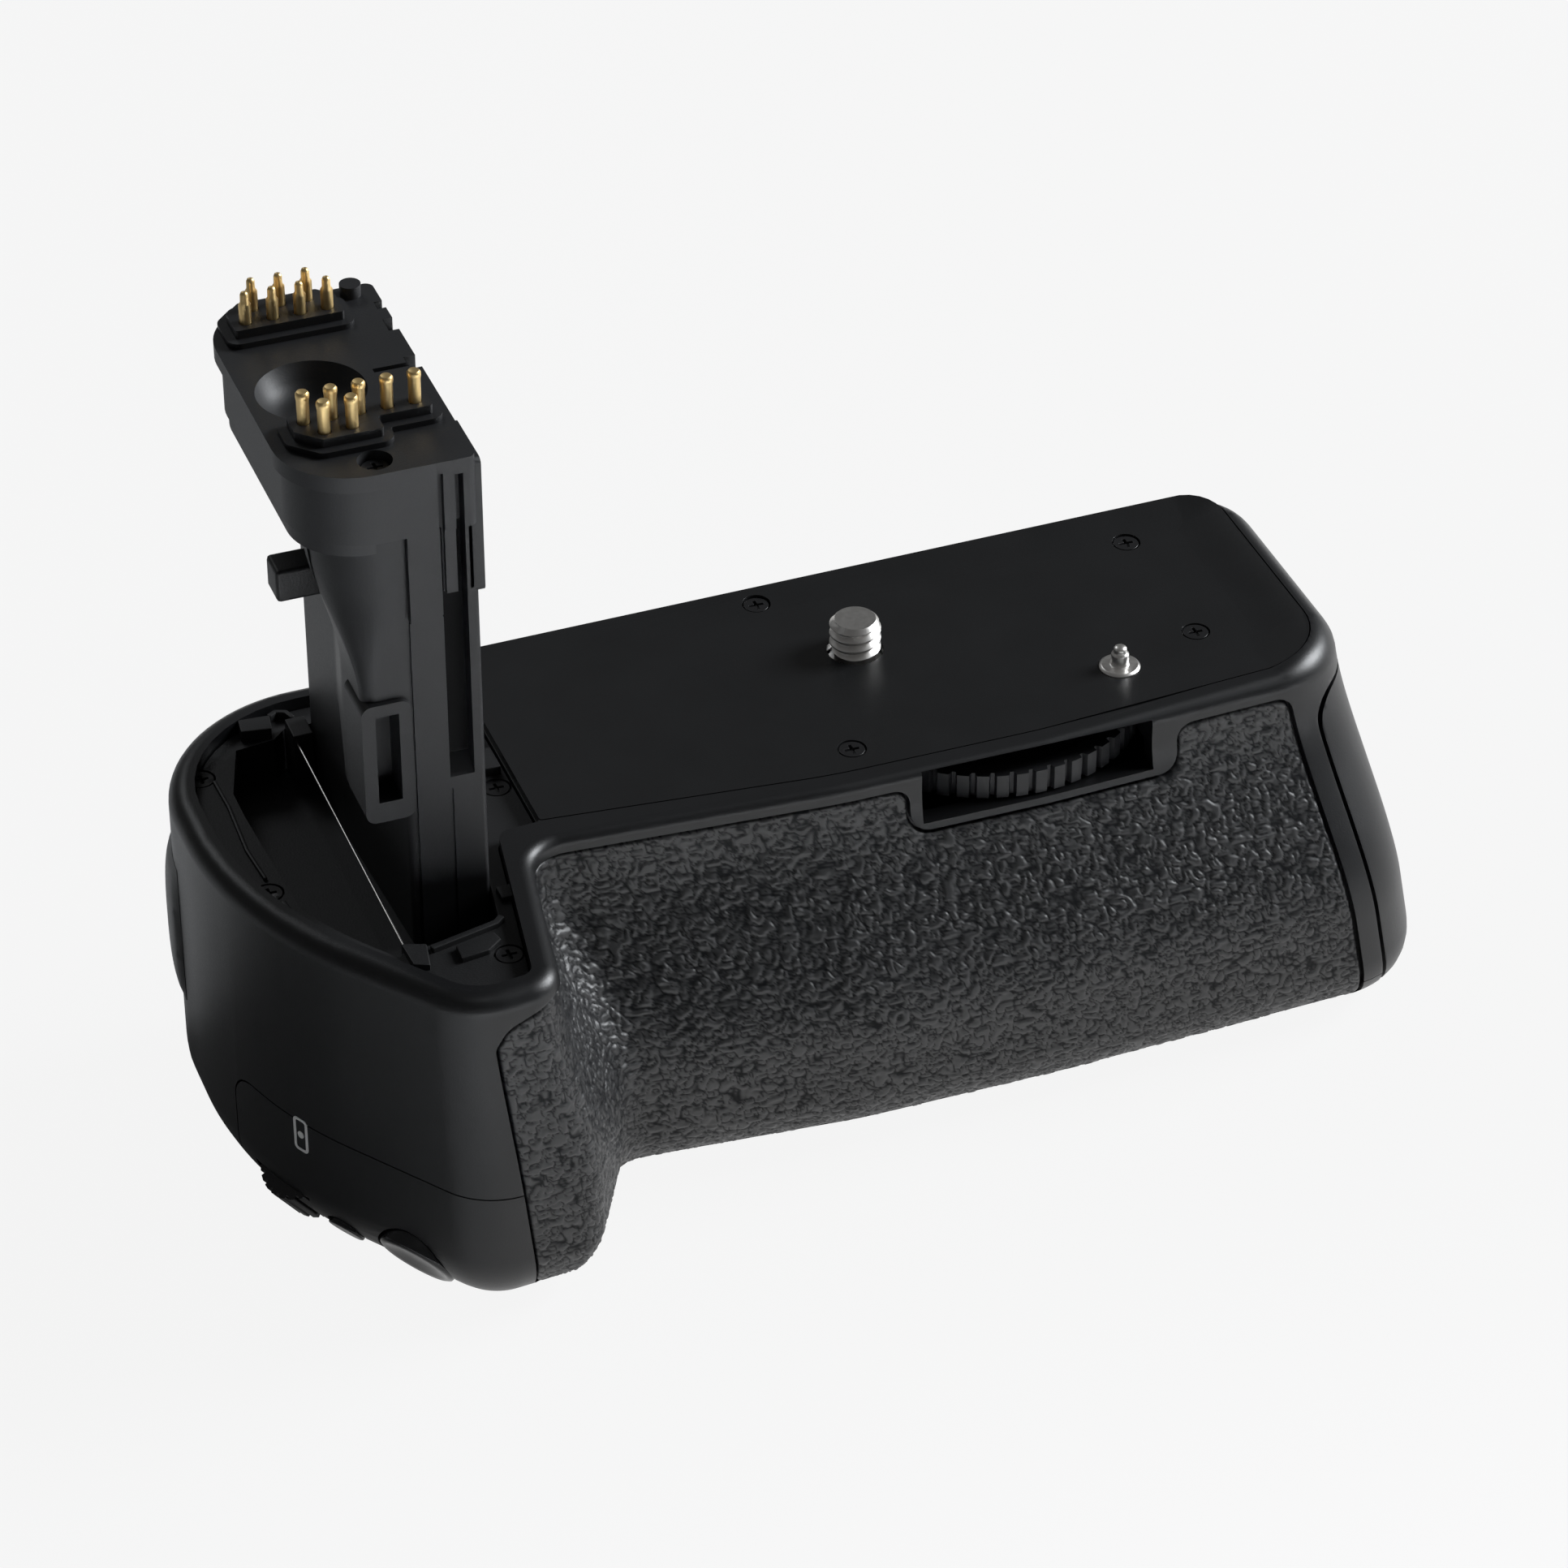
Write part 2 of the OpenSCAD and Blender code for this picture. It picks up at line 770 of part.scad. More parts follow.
module bay_tray() {
  color(shell_colour) difference() {
    union() {
      prism(bay_corners(), deck_z, -bay_deck);
      pocket_space(pocket_wall, -bay_floor - pocket_wall, deck_z + eps);
      door_clips();
    }
    pocket_space(0, -bay_floor, 1);
    prism(inset(base_corners(), -running), -bay_floor, 1);
    for (i = [0:3]) screw_seat(bay_screw_place(i), -bay_deck);
  }
}

// Inner frame: the magazine's channel, with posts for the plate's and the base's screws
module chassis() {
  y0 = chamber_y - channel_w / 2;
  y1 = chamber_y + channel_w / 2;
  t = channel_t;
  left = channel_left - t;
  base_post = bottom_z + wall + 1.4;
  color(frame_colour) difference() {
    union() {
      box([left, y0 - t, channel_low - t], [channel_right, y1 + t, channel_low]);
      box([left, y1, channel_low - eps], [channel_right, y1 + t, deck_top]);
      box([left, y0 - t, channel_low - eps], [channel_right, y0, channel_front_top]);
      box([left, y0 + channel_lip, deck_top - deck_t], [channel_right, y1 + eps, deck_top]);
      box([left, y0 - t, channel_low - eps], [channel_left, y1 + eps, channel_front_top]);
      box([left, y0 + channel_lip, channel_front_top - eps], [channel_left, y1 + eps, deck_top - eps]);
      for (p = plate_screw_at)
        translate([p.x, p.y, deck_top - eps]) cylinder(r = post_r, h = plate_z - deck_top + eps);
      translate([bay_screw_right.x, bay_screw_right.y, deck_top - eps])
        cylinder(r = post_r, h = deck_z - deck_top + eps);
      for (p = base_screw_at)
        translate([p.x, p.y, base_post]) cylinder(r = post_r, h = channel_low - t - base_post + eps);
    }
    for (p = plate_screw_at)
      translate([p.x, p.y, plate_z - 6]) cylinder(r = screw_shank_r, h = 7);
    translate([bay_screw_right.x, bay_screw_right.y, deck_z - 5]) cylinder(r = screw_shank_r, h = 6);
    for (p = base_screw_at)
      translate([p.x, p.y, base_post - 1])
        cylinder(r = screw_shank_r, h = channel_low - channel_t - base_post + 1);
  }
}

// Tower
column_left = tower_left - 6.6;
web_left = tower_left - 10.2;
web_front = 24 - tower_front;
base_left = tower_left - 11.4;
column_back = 9 - tower_front;
column_r = 8;
head_low = tower_h - head_h;
collar_h = 2;
collar_in = 1.2;
window_x = -tower_left + 9.2;
window_w = 2.8;
window_low = 14.5;
window_high = 26.4;
frame_w = 2.6;
frame_t = 0.6;
overhang = window_low - frame_w;
groove_left = -tower_right - 4.3;
groove_w = 2.9;
groove_low = 14;
groove_deep = 0.9;
function column_corners() = [
  [-tower_right, tower_back, 1],
  [-web_left, tower_back, 1],
  [-web_left, web_front, column_r],
  [-column_left, column_back, column_r],
  [-column_left, -tower_front, 1],
  [-tower_right, -tower_front, 1]
];
// Below the window's frame the column is narrower
function base_corners() = [
  [-tower_right, tower_back, 1],
  [-web_left, tower_back, 1],
  [-web_left, web_front, column_r],
  [-base_left, -tower_front, 1],
  [-tower_right, -tower_front, 1]
];
module tower_column() {
  low = -bay_floor;
  w = column_wall;
  color(shell_colour) difference() {
    union() {
      prism(base_corners(), low, head_low);
      prism(column_corners(), overhang, head_low);
      prism(inset(head_corners(), collar_in), head_low - collar_h, head_low);
      box([window_x - frame_w, -tower_front - frame_t, overhang],
        [window_x + frame_w, -tower_front + w, window_high + frame_w]);
    }
    prism(inset(base_corners(), w), low + 2, far);
    prism(inset(column_corners(), w), overhang + w, far);
    box([window_x - window_w / 2, -tower_front - 2, window_low],
      [window_x + window_w / 2, -tower_front + w + 1, window_high]);
    box([groove_left, -tower_front - 2, groove_low],
      [groove_left + groove_w, -tower_front + groove_deep, far]);
    catch_bar(-tower_left, catch_inside, catch_side / 2 + clear);
  }
}

function head_corners() = [
  [-tower_right, tower_back, 1],
  [-tower_left, tower_back, 8],
  [-tower_left, -tower_front, 8],
  [-tower_right, -tower_front, 1]
];
dish_at = [-tower_left + 7.6, 18.5 - tower_front];
dish_r = 6.2;
dish_deep = 3;
leg_t = 0.7;
leg_w = 3.7;
leg_drop = 11.5;
leg_rise = 6;
leg_root = 1;
side_leg_drop = 9.5;
side_leg_w = 9;
bore_deep = 5;
bore_low = tower_h - bore_deep;
module tower_cap() {
  color(shell_colour) difference() {
    union() {
      prism(head_corners(), head_low, tower_h);
      box([groove_left - clear - leg_w, -tower_front - leg_t, head_low - leg_drop],
        [groove_left - clear, -tower_front, head_low + leg_rise]);
      box([groove_left - clear - leg_w, -tower_front - leg_t, head_low],
        [groove_left - clear, -tower_front + leg_root, head_low + leg_rise]);
      box([-tower_right, -tower_front, head_low - side_leg_drop],
        [-tower_right + leg_t, -tower_front + side_leg_w, tower_h - 1]);
      box([-tower_right - leg_root, -tower_front + leg_root, head_low],
        [-tower_right + leg_t, -tower_front + side_leg_w, tower_h - 1]);
      box([-tower_right - 4, tower_back - 2.6, tower_h - eps],
        [-tower_right - 2.2, tower_back - 0.8, tower_h + 1.4]);
    }
    translate([dish_at.x, dish_at.y, tower_h - dish_deep])
      cylinder(r1 = dish_r - 3.4, r2 = dish_r, h = dish_deep + eps);
    for (p = concat(rear_pin_at, front_pin_at))
      translate([p.x, p.y, bore_low]) cylinder(r = pin_r + running, h = far);
    for (n = head_notches)
      box([-tower_right - n[0], n[1] - tower_front, tower_h - n[3]],
        [1 - tower_right + leg_t, n[1] + n[2] - tower_front, tower_h + 1]);
    translate([cap_screw_x, cap_screw_y, cap_screw_z - screw_head_h]) {
      cylinder(r = cap_recess_r, h = far);
      translate([0, 0, -bay_screw_l - 1]) cylinder(r = screw_shank_r + running, h = far);
    }
  }
}
// Notches in the head's right edge: how deep, how far from the front, how wide and how low
head_notches = [[1.4, 19, 2.6, 2.2], [1.2, 27.6, 2.6, 1.6], [5.4, 19.6, 0.8, 0.8]];
cap_screw_x = -tower_left + 10;
cap_screw_y = 2.3 - tower_front;
cap_screw_z = tower_h - 0.9;
cap_recess_r = 2;

// Contact blocks and pins: the rows are staggered
pin_pitch = 3.2;
rear_row = -tower_left + 4.1;
front_row = -tower_left + 4.2;
row_gap = 2.6;
rear_y = tower_back - 6.3;
front_y = 9.7 - tower_front;
rear_pin_at = concat(
  [for (k = [0:3]) [rear_row + k * pin_pitch, rear_y]],
  [for (k = [0:2]) [rear_row + 1.5 + k * pin_pitch, rear_y + row_gap]]
);
front_pin_at = concat(
  [for (k = [0:4]) [front_row + k * pin_pitch, front_y]],
  [for (k = [0:1]) [front_row + 1.6 + k * pin_pitch, front_y - row_gap]]
);
block_rim = 1.6;

module rear_contact_block() {
  color(shell_colour) difference() {
    box([rear_row - block_rim, rear_y - block_rim, tower_h],
      [rear_row + 3 * pin_pitch + block_rim, rear_y + row_gap + block_rim, tower_h + block_h]);
    for (p = rear_pin_at) translate([p.x, p.y, 0]) cylinder(r = pin_r + running, h = far);
  }
}

module front_contact_block() {
  color(shell_colour) difference() {
    union() {
      box([front_row - block_rim, front_y - block_rim, tower_h],
        [front_row + 4 * pin_pitch + block_rim, front_y + block_rim, tower_h + block_h]);
      box([front_row - block_rim, front_y - row_gap - block_rim, tower_h],
        [front_row + 2 * pin_pitch + block_rim, front_y, tower_h + block_h]);
    }
    for (p = front_pin_at) translate([p.x, p.y, 0]) cylinder(r = pin_r + running, h = far);
  }
}

// One sprung pin, with a thin nose or a small round head
pin_foot = bore_low + pin_travel + clear;
module contact_pin(nose_r) {
  top = tower_h + block_h + pin_h;
  translate([0, 0, pin_foot]) cylinder(r = pin_r, h = top - 1.6 - pin_foot);
  translate([0, 0, top - 1.6 - eps]) cylinder(r1 = pin_r, r2 = nose_r, h = 0.4 + eps);
  translate([0, 0, top - 1.2 - eps]) cylinder(r = nose_r, h = 1.2 - nose_r + eps);
  translate([0, 0, top - nose_r]) sphere(r = nose_r);
}
module rear_pins() {
  color(gilt_colour) for (p = rear_pin_at) translate([p.x, p.y, 0]) contact_pin(pin_r * 0.6);
}
module front_pins() {
  color(gilt_colour) for (p = front_pin_at) translate([p.x, p.y, 0]) contact_pin(pin_r * 0.9);
}

// The catch: a square peg that slides in the column's wall, with a collar that keeps it there
catch_y = 15 - tower_front;
catch_z = 37;
catch_side = 4.2;
catch_end = tower_left - 0.8;
catch_collar = 1.2;
catch_inside = -web_left + column_wall - 1.2;
module catch_bar(x_low, x_high, half) {
  box([x_low, catch_y - half, catch_z - half], [x_high, catch_y + half, catch_z + half]);
}
module tower_catch() {
  inside = catch_inside + clear;
  color(shell_colour) {
    catch_bar(-catch_end, inside + eps, catch_side / 2);
    catch_bar(inside, inside + catch_collar, catch_side / 2 + 1);
  }
}

// Boards
board_t = 1.2;
module tower_board() {
  color(board_colour)
    box([-tower_right - column_wall - 0.4 - board_t, web_front, -bay_floor + 2],
      [-tower_right - column_wall - 0.4, tower_back - column_wall - 0.3, head_low - 0.3]);
}
module main_board() {
  x = channel_left - channel_t;
  color(board_colour) {
    box([x - 1 - board_t, -18, channel_low + 1], [x - 1, 6, deck_top]);
    for (y = [-14, 2], z = [channel_low + 5, deck_top - 4])
      translate([x - 1 - eps, y, z]) rotate([0, 90, 0]) cylinder(r = 1.4, h = 1 + eps);
  }
}

// Switches under the front buttons, and the board that carries them
switch_side = 4;
small_switch = 3.2;
switch_h = 2;
plunger_gap = 0.2;
function switch_top(travel) = -button_length - flange_h - travel - plunger_gap;
module button_switch(side, travel, low) {
  half = side / 2;
  box([-half, -half, low], [half, half, switch_top(travel)]);
}
board_level = switch_top(shutter_travel) - switch_h;
module shutter_switch() {
  color(switch_colour) on_edge(shutter_u, shutter_dip)
    button_switch(switch_side, shutter_travel, board_level);
}
module control_board() {
  half_x = 5;
  leg_y = shutter_r + flange_w + clear;
  foot_w = 1;
  color(board_colour) on_edge(shutter_u, shutter_dip) {
    box([-half_x, -leg_y - foot_w, board_level - board_t], [half_x, leg_y + foot_w, board_level]);
    for (y = [-leg_y - foot_w, leg_y])
      box([-foot_w, y, board_level - eps], [foot_w, y + foot_w, -boss_depth]);
  }
}
module area_switch() {
  low = switch_top(small_travel) - switch_h;
  leg_half = 0.3;
  leg_x = small_r + flange_w + clear + leg_half;
  color(switch_colour) on_edge(area_u, area_dip) {
    button_switch(small_switch, small_travel, low);
    for (x = [-leg_x, leg_x])
      box([x - leg_half, -1, low], [x + leg_half, 1, -boss_depth]);
    box([-leg_x - leg_half, -1, low - leg_half], [leg_x + leg_half, 1, low + eps]);
  }
}

// A push button with a flange that keeps it in its guide
module push_button(r, proud) {
  translate([0, 0, -button_length]) cylinder(r = r, h = button_length + proud);
  translate([0, 0, -button_length - flange_h]) cylinder(r = r + flange_w, h = flange_h + eps);
}
module shutter_button() {
  color(button_colour) on_edge(shutter_u, shutter_dip) push_button(shutter_r, shutter_proud);
}
module area_button() {
  color(button_colour) on_edge(area_u, area_dip) push_button(small_r, area_proud);
}
module rear_button(k) {
  color(button_colour) on_corner(k) push_button(small_r, rear_proud);
}
module focus_button() {
  rear_button(0);
}
module lock_button() {
  rear_button(1);
}
module point_button() {
  rear_button(2);
}

// A ribbed wheel's outline
function ribbed(r, ribs, deep) = [
  for (k = [0:ribs - 1], q = [[-0.3, 1], [0.3, 1], [0.4, 0], [0.6, 0]])
    let (a = (k + q[0]) * 360 / ribs, radius = r - (1 - q[1]) * deep)
      [radius * cos(a), radius * sin(a)]
];
dial_rib = 0.5;
module main_dial() {
  color(button_colour) on_edge(dial_u, dial_dip) translate([0, 0, dial_proud - dial_r])
    rotate([0, 90, 0]) difference() {
      translate([0, 0, -dial_w / 2]) linear_extrude(dial_w) polygon(ribbed(dial_r, dial_ribs, dial_rib));
      cylinder(r = dial_pin_r + running, h = dial_w + 1, center = true);
    }
}
module dial_axle() {
  color(steel_colour) on_edge(dial_u, dial_dip) translate([0, 0, dial_proud - dial_r]) rotate([0, 90, 0])
    cylinder(r = dial_pin_r, h = dial_w + 2 * clear + 2 * cheek_t, center = true);
}

// Rear power lever
lever_at = [47 - left_reach, back_reach, bottom_z + 16];
lever_r = 5;
lever_h = 2;
lever_pin_r = 1.5;
lever_pin_h = 1.8;
lever_tip = 3;
lever_tip_w = 2.4;
module power_lever() {
  color(button_colour) translate(lever_at) rotate([-90, 0, 0]) {
    translate([0, 0, clear]) cylinder(r = lever_r, h = lever_h);
    translate([0, -lever_tip_w / 2, clear]) cube([lever_r + lever_tip, lever_tip_w, lever_h + 0.8]);
    translate([0, 0, -lever_pin_h]) cylinder(r = lever_pin_r, h = lever_pin_h + clear + eps);
  }
}

// Drive gears: involute teeth with a little backlash
function involute(base, r) = sqrt(pow(r / base, 2) - 1) * 180 / PI - acos(base / r);
function flank(teeth, tip, base, low) = [
  for (k = [0:3])
    let (
      pitch = gear_module * teeth / 2,
      r = low + (tip - low) * k / 3,
      half = 90 / teeth - backlash / pitch * 90 / PI + involute(base, pitch) - involute(base, r)
    )
      [r, half]
];
function gear_points(teeth) =
  let (
    pitch = gear_module * teeth / 2,
    base = pitch * cos(pressure_angle),
    tip = pitch + stub_height * gear_module,
    root = pitch - root_depth * gear_module,
    low = max(base, root) + eps,
    right = flank(teeth, tip, base, low),
    start = right[0][1]
  )
    [
      for (t = [0:teeth - 1])
        let (a = t * 360 / teeth)
          each concat(
            [root * [cos(a - start), sin(a - start)]],
            [for (q = right) q[0] * [cos(a - q[1]), sin(a - q[1])]],
            [for (k = [3:-1:0]) right[k][0] * [cos(a + right[k][1]), sin(a + right[k][1])]],
            [root * [cos(a + start), sin(a + start)]]
          )
    ];
mesh_angle = atan2(wheel_y, wheel_x);

module attach_wheel() {
  web_top = wheel_bottom + 1.8;
  color(shell_colour) translate([wheel_x, wheel_y, 0]) difference() {
    union() {
      translate([0, 0, wheel_bottom]) linear_extrude(wheel_h)
        polygon(ribbed(wheel_r, wheel_ribs, wheel_rib));
      translate([0, 0, web_top - eps]) rotate([0, 0, mesh_angle + 180 + 180 / wheel_teeth])
        linear_extrude(gear_top - web_top + eps) polygon(gear_points(wheel_teeth));
    }
    translate([0, 0, web_top]) difference() {
      cylinder(r = wheel_r - wheel_band, h = wheel_h);
      translate([0, 0, -1]) cylinder(r = wheel_hub_r, h = gear_top - web_top + 2);
    }
    translate([0, 0, wheel_bottom - 1]) cylinder(r = axle_r + running, h = 12);
  }
}
wheel_rib = 0.7;
wheel_band = 2.4;
wheel_hub_r = gear_module * (wheel_teeth / 2 + stub_height) + 0.2;

module wheel_axle() {
  color(steel_colour) translate([wheel_x, wheel_y, 0]) {
    translate([0, 0, deck_top]) cylinder(r = 2 * axle_r, h = wheel_bottom - 0.2 - deck_top);
    translate([0, 0, wheel_bottom - 0.2 - eps]) cylinder(r = axle_r, h = plate_z - wheel_bottom + 0.2 + eps);
  }
}

module camera_screw() {
  tip = 0.8;
  color(steel_colour) {
    translate([0, 0, gear_bottom]) cylinder(r = journal_r, h = gear_top - gear_bottom + eps);
    translate([0, 0, gear_top]) cylinder(r = screw_neck_r, h = -gear_top + eps);
    cylinder(r = screw_r, h = screw_h - tip);
    translate([0, 0, screw_h - tip - eps]) cylinder(r1 = screw_r, r2 = screw_r - tip, h = tip + eps);
  }
}

module screw_gear() {
  color(steel_colour) translate([0, 0, gear_bottom]) rotate([0, 0, mesh_angle]) difference() {
    linear_extrude(gear_top - gear_bottom) polygon(gear_points(screw_teeth));
    translate([0, 0, -1]) cylinder(r = journal_r, h = 10);
  }
}

module locating_pin() {
  collar_r = locator_flange_r + 0.8;
  collar_h = 0.5;
  color(steel_colour) translate([locator_at.x, locator_at.y, 0]) {
    translate([0, 0, plate_z - collar_h]) cylinder(r = collar_r, h = collar_h);
    translate([0, 0, plate_z - eps]) cylinder(r = locator_flange_r, h = plate_t + eps);
    translate([0, 0, -eps]) cylinder(r = locator_r, h = locator_h - locator_r + eps);
    translate([0, 0, locator_h - locator_r]) sphere(r = locator_r);
  }
}

module tripod_socket() {
  flange_z = floor_z;
  top = flange_z + socket_flange_h;
  color(steel_colour) translate([socket_at.x, socket_at.y, 0]) difference() {
    union() {
      translate([0, 0, bottom_z]) cylinder(r = socket_wall_r, h = top - bottom_z);
      translate([0, 0, flange_z]) cylinder(r = socket_flange_r, h = socket_flange_h);
      translate([0, 0, top - eps]) cylinder(r = socket_wall_r, h = channel_low - channel_t - 0.2 - top);
    }
    translate([0, 0, bottom_z - eps]) cylinder(r = socket_r, h = socket_h + eps);
  }
}

// Fasteners: a cross-head screw with its head's top at a height
plate_screw_l = 5;
bay_screw_l = 4;
base_screw_l = 6;
module cross_screw(top, head_r, head_h, length) {
  slot = 0.4;
  difference() {
    union() {
      translate([0, 0, top - head_h]) cylinder(r = head_r, h = head_h);
      translate([0, 0, top - head_h - length]) cylinder(r = screw_shank_r, h = length + eps);
    }
    for (a = [0, 90])
      rotate([0, 0, a])
        box([-head_r * 0.6, -slot / 2, top - head_h * 0.6], [head_r * 0.6, slot / 2, top + 1]);
  }
}
module plate_screws() {
  color(plate_colour) for (p = plate_screw_at)
    translate([p.x, p.y, 0]) cross_screw(-0.05, screw_head_r, screw_head_h, plate_screw_l);
}
module bay_screws() {
  color(plate_colour) for (i = [0:3])
    translate([bay_screw_place(i).x, bay_screw_place(i).y, 0])
      cross_screw(-bay_deck - 0.05, screw_head_r, screw_head_h, bay_screw_l);
}
module cap_screws() {
  color(plate_colour) translate([cap_screw_x, cap_screw_y, 0])
    cross_screw(cap_screw_z, screw_head_r, screw_head_h, bay_screw_l);
}
module bottom_screws() {
  color(plate_colour) for (p = base_screw_at)
    translate([p.x, p.y, bottom_z]) mirror([0, 0, 1])
      cross_screw(-0.2, base_head_r, base_head_h, base_screw_l);
}

// Magazine
module magazine_tray() {
  y0 = chamber_y - tray_w / 2;
  y1 = chamber_y + tray_w / 2;
  floor_top = tray_low + tray_floor;
  color(shell_colour) difference() {
    box([tray_left, y0, tray_low], [tray_right, y1, floor_top + tray_side]);
    for (k = [0, 1])
      translate([tray_left + tray_wall + k * (cell_l + tray_wall), y0 + tray_wall, floor_top])
        cube([cell_l, cell_w, far]);
  }
}

knob_tilt = atan(end_slope);
knob_depth = 24;
knob_at = [right_reach + end_slope * knob_depth, chamber_y, -knob_depth];
spindle_r = 2;
knob_sunk = knob_h;
module on_end() {
  translate(knob_at) rotate([0, 90 - knob_tilt, 0]) children();
}

module magazine_cap() {
  y0 = chamber_y - tray_w / 2;
  y1 = chamber_y + tray_w / 2;
  plug_low = tray_low;
  plug_high = tray_low + tray_floor + tray_side;
  plug_in = mouth_x + seam - end_slope * plug_low + 1;
  color(shell_colour) difference() {
    union() {
      intersection() {
        body();
        end_zone(-seam);
      }
      box([tray_right, y0, plug_low], [plug_in, y1, plug_high]);
    }
    on_end() {
      translate([0, 0, -knob_sunk - clear]) cylinder(r = knob_r + clear, h = far);
      translate([0, 0, -knob_sunk - 3]) cylinder(r = spindle_r + running, h = 4);
    }
  }
}

module lock_knob() {
  color(button_colour) on_end() translate([0, 0, -knob_sunk]) difference() {
    union() {
      cylinder(r = knob_r, h = knob_h - 1);
      box([-knob_r + 1, -1.4, 0], [knob_r - 1, 1.4, knob_h - 0.2]);
    }
    translate([0, 0, -1]) cylinder(r = spindle_r, h = 2.2);
  }
}

module lock_spindle() {
  color(steel_colour) on_end() translate([0, 0, -knob_sunk - 2.8]) cylinder(r = spindle_r, h = 2.8 + 1.2);
}

// Electrical contacts between the magazine and the chassis
contact_w = 3;
contact_t = 0.4;
contact_at = [-14, -5, 4];
module magazine_contacts() {
  z = tray_low + 6;
  color(gilt_colour) for (y = contact_at)
    box([tray_left - contact_t, chamber_y + y, z], [tray_left, chamber_y + y + contact_w, z + 5]);
}
module chamber_contacts() {
  z = tray_low + 7;
  color(gilt_colour) for (y = contact_at)
    box([channel_left, chamber_y + y + 0.5, z],
      [tray_left - contact_t - 0.4, chamber_y + y + contact_w - 0.5, z + 3]);
}

main_shell();
rear_cover();
bottom_cover();
control_cover();
front_grip();
rear_thumb_pad();
top_plate();
bay_tray();
chassis();
tower_column();
tower_cap();
rear_contact_block();
front_contact_block();
locating_pin();
tripod_socket();
wheel_axle();
dial_axle();
main_board();
tower_board();
control_board();
shutter_switch();
area_switch();
chamber_contacts();
plate_screws();
bay_screws();
cap_screws();
bottom_screws();
attach_wheel();
camera_screw();
screw_gear();
rear_pins();
front_pins();
tower_catch();
shutter_button();
area_button();
main_dial();
focus_button();
lock_button();
point_button();
power_lever();
magazine_tray();
magazine_cap();
magazine_contacts();
lock_knob();
lock_spindle();
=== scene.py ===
"""Looks of the camera battery grip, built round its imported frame.

Sizes are written in millimetres and turned into metres when a mesh is made. The stage, the lamps and the
camera are written in metres.
"""
import itertools
import json
import math

import bmesh
import bpy
import numpy as np
from mathutils import Matrix, Vector


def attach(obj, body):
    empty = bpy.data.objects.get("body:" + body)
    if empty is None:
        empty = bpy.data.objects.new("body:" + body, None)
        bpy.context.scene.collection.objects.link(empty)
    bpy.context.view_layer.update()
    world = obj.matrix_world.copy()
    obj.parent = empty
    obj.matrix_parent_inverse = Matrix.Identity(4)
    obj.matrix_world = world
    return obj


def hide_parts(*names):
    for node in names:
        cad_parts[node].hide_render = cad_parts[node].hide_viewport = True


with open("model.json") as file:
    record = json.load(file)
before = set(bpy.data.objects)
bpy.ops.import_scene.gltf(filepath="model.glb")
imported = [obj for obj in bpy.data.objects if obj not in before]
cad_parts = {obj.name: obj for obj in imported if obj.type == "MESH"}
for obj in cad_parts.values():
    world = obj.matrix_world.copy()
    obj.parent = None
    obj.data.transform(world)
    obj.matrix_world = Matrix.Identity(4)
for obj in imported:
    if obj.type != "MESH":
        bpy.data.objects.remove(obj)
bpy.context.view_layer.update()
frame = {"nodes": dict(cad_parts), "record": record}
record = frame["record"]
scene = bpy.context.scene
MM = 0.001

# The body's plan, as the frame has it
LEFT, RIGHT, BACK = 87.0, 57.0, 17.0
FRONT, GRIP = 26.6, 51.5
BODY_H, EDGE_R, WALL = 46.0, 9.0, 2.6
END_SLOPE, FRONT_SWELL, GRIP_SWELL = 0.19, 11.5, 2.0
SWELL_START, SWELL_DEPTH = 3.0, 30.0
RUBBER_T, RIM_W, BACK_RIM, BAY_RIM = 1.2, 3.0, 0.6, 3.4
PLATE_T, PLATE_LEFT, PLATE_HEEL = 1.2, 47.3, 3.6
BAY_DECK, BAY_T, BAY_FLOOR, BAY_GAP, BAY_HEEL_R = 1.6, 1.4, 7.4, 0.3, 2
LEDGE, SEAM, GROOVE, RIM_ROUND, CASE_EDGE, CAP_EDGE = 1.6, 0.18, 0.4, 1.3, 0.14, 0.5

# Where the plan turns: its radii, the palm, the nose, the web beside the hand grip and the bowed front
BACK_RIGHT_R, BACK_LEFT_R, FRONT_RIGHT_R, PALM_R, NOSE_R, WEB_R, BOW_R = 8, 20, 12, 52.0, 9, 5, 80
PALM_Y, NOSE_X, BOW_X, END_BACK, SHARP_R = -24.0, 21 - LEFT, (-12, 14), 2, 0.3
WEB_TOP, WEB_FOOT, WEB_SHIFT = (32.5 - LEFT, 1.2), (37 - LEFT, 2.6), (3, 7.5)

# Heights and borders that follow from these
BOTTOM = -BODY_H
DECK_Z = -BAY_DECK - BAY_T
CAVITY_TOP = DECK_Z - LEDGE
MOUTH_X, MOUTH_TOP = RIGHT - 7.2, -4.0
RUBBER_RIGHT, RUBBER_TOP = MOUTH_X - 3.3, -2.4
RUBBER_BOTTOM = BOTTOM + 1.8
BOTTOM_SEAM, REAR_SEAM, REAR_TOP = BOTTOM + 5.5, 5.0, -3.2
CONTROL_TOP = BOTTOM + 18.5
SLOT_X, SLOT_TOP, SLOT_LIP, SLOT_BOTTOM, SLOT_FRAME = (-1.7, 28.4), -1.7, -0.4, -7.3, (1.7, 3.5)
WHEEL_AT, WHEEL_R = (13.75, -6.71), 20.0
CORNER_STEPS = (10, 20, 24, 14, 10, 12, 10, 10, 14)
FAR = 200

# The upper edge: its rounding along x, and the lip that rises at the right end
RIM_DEPTH = 3.2
ROUND_X, ROUND_R = (-56.0, -44.0, 38.0, 52.0), (2.4, RIM_ROUND, RIM_ROUND, 3.0)
LIFT_X, END_LIFT, LIFT_REACH = (40.0, 53.0), 1.1, 8.0


# Plan curves
def unit(v):
    return v / np.linalg.norm(v)


def left_of(d):
    return np.array([-d[1], d[0]])


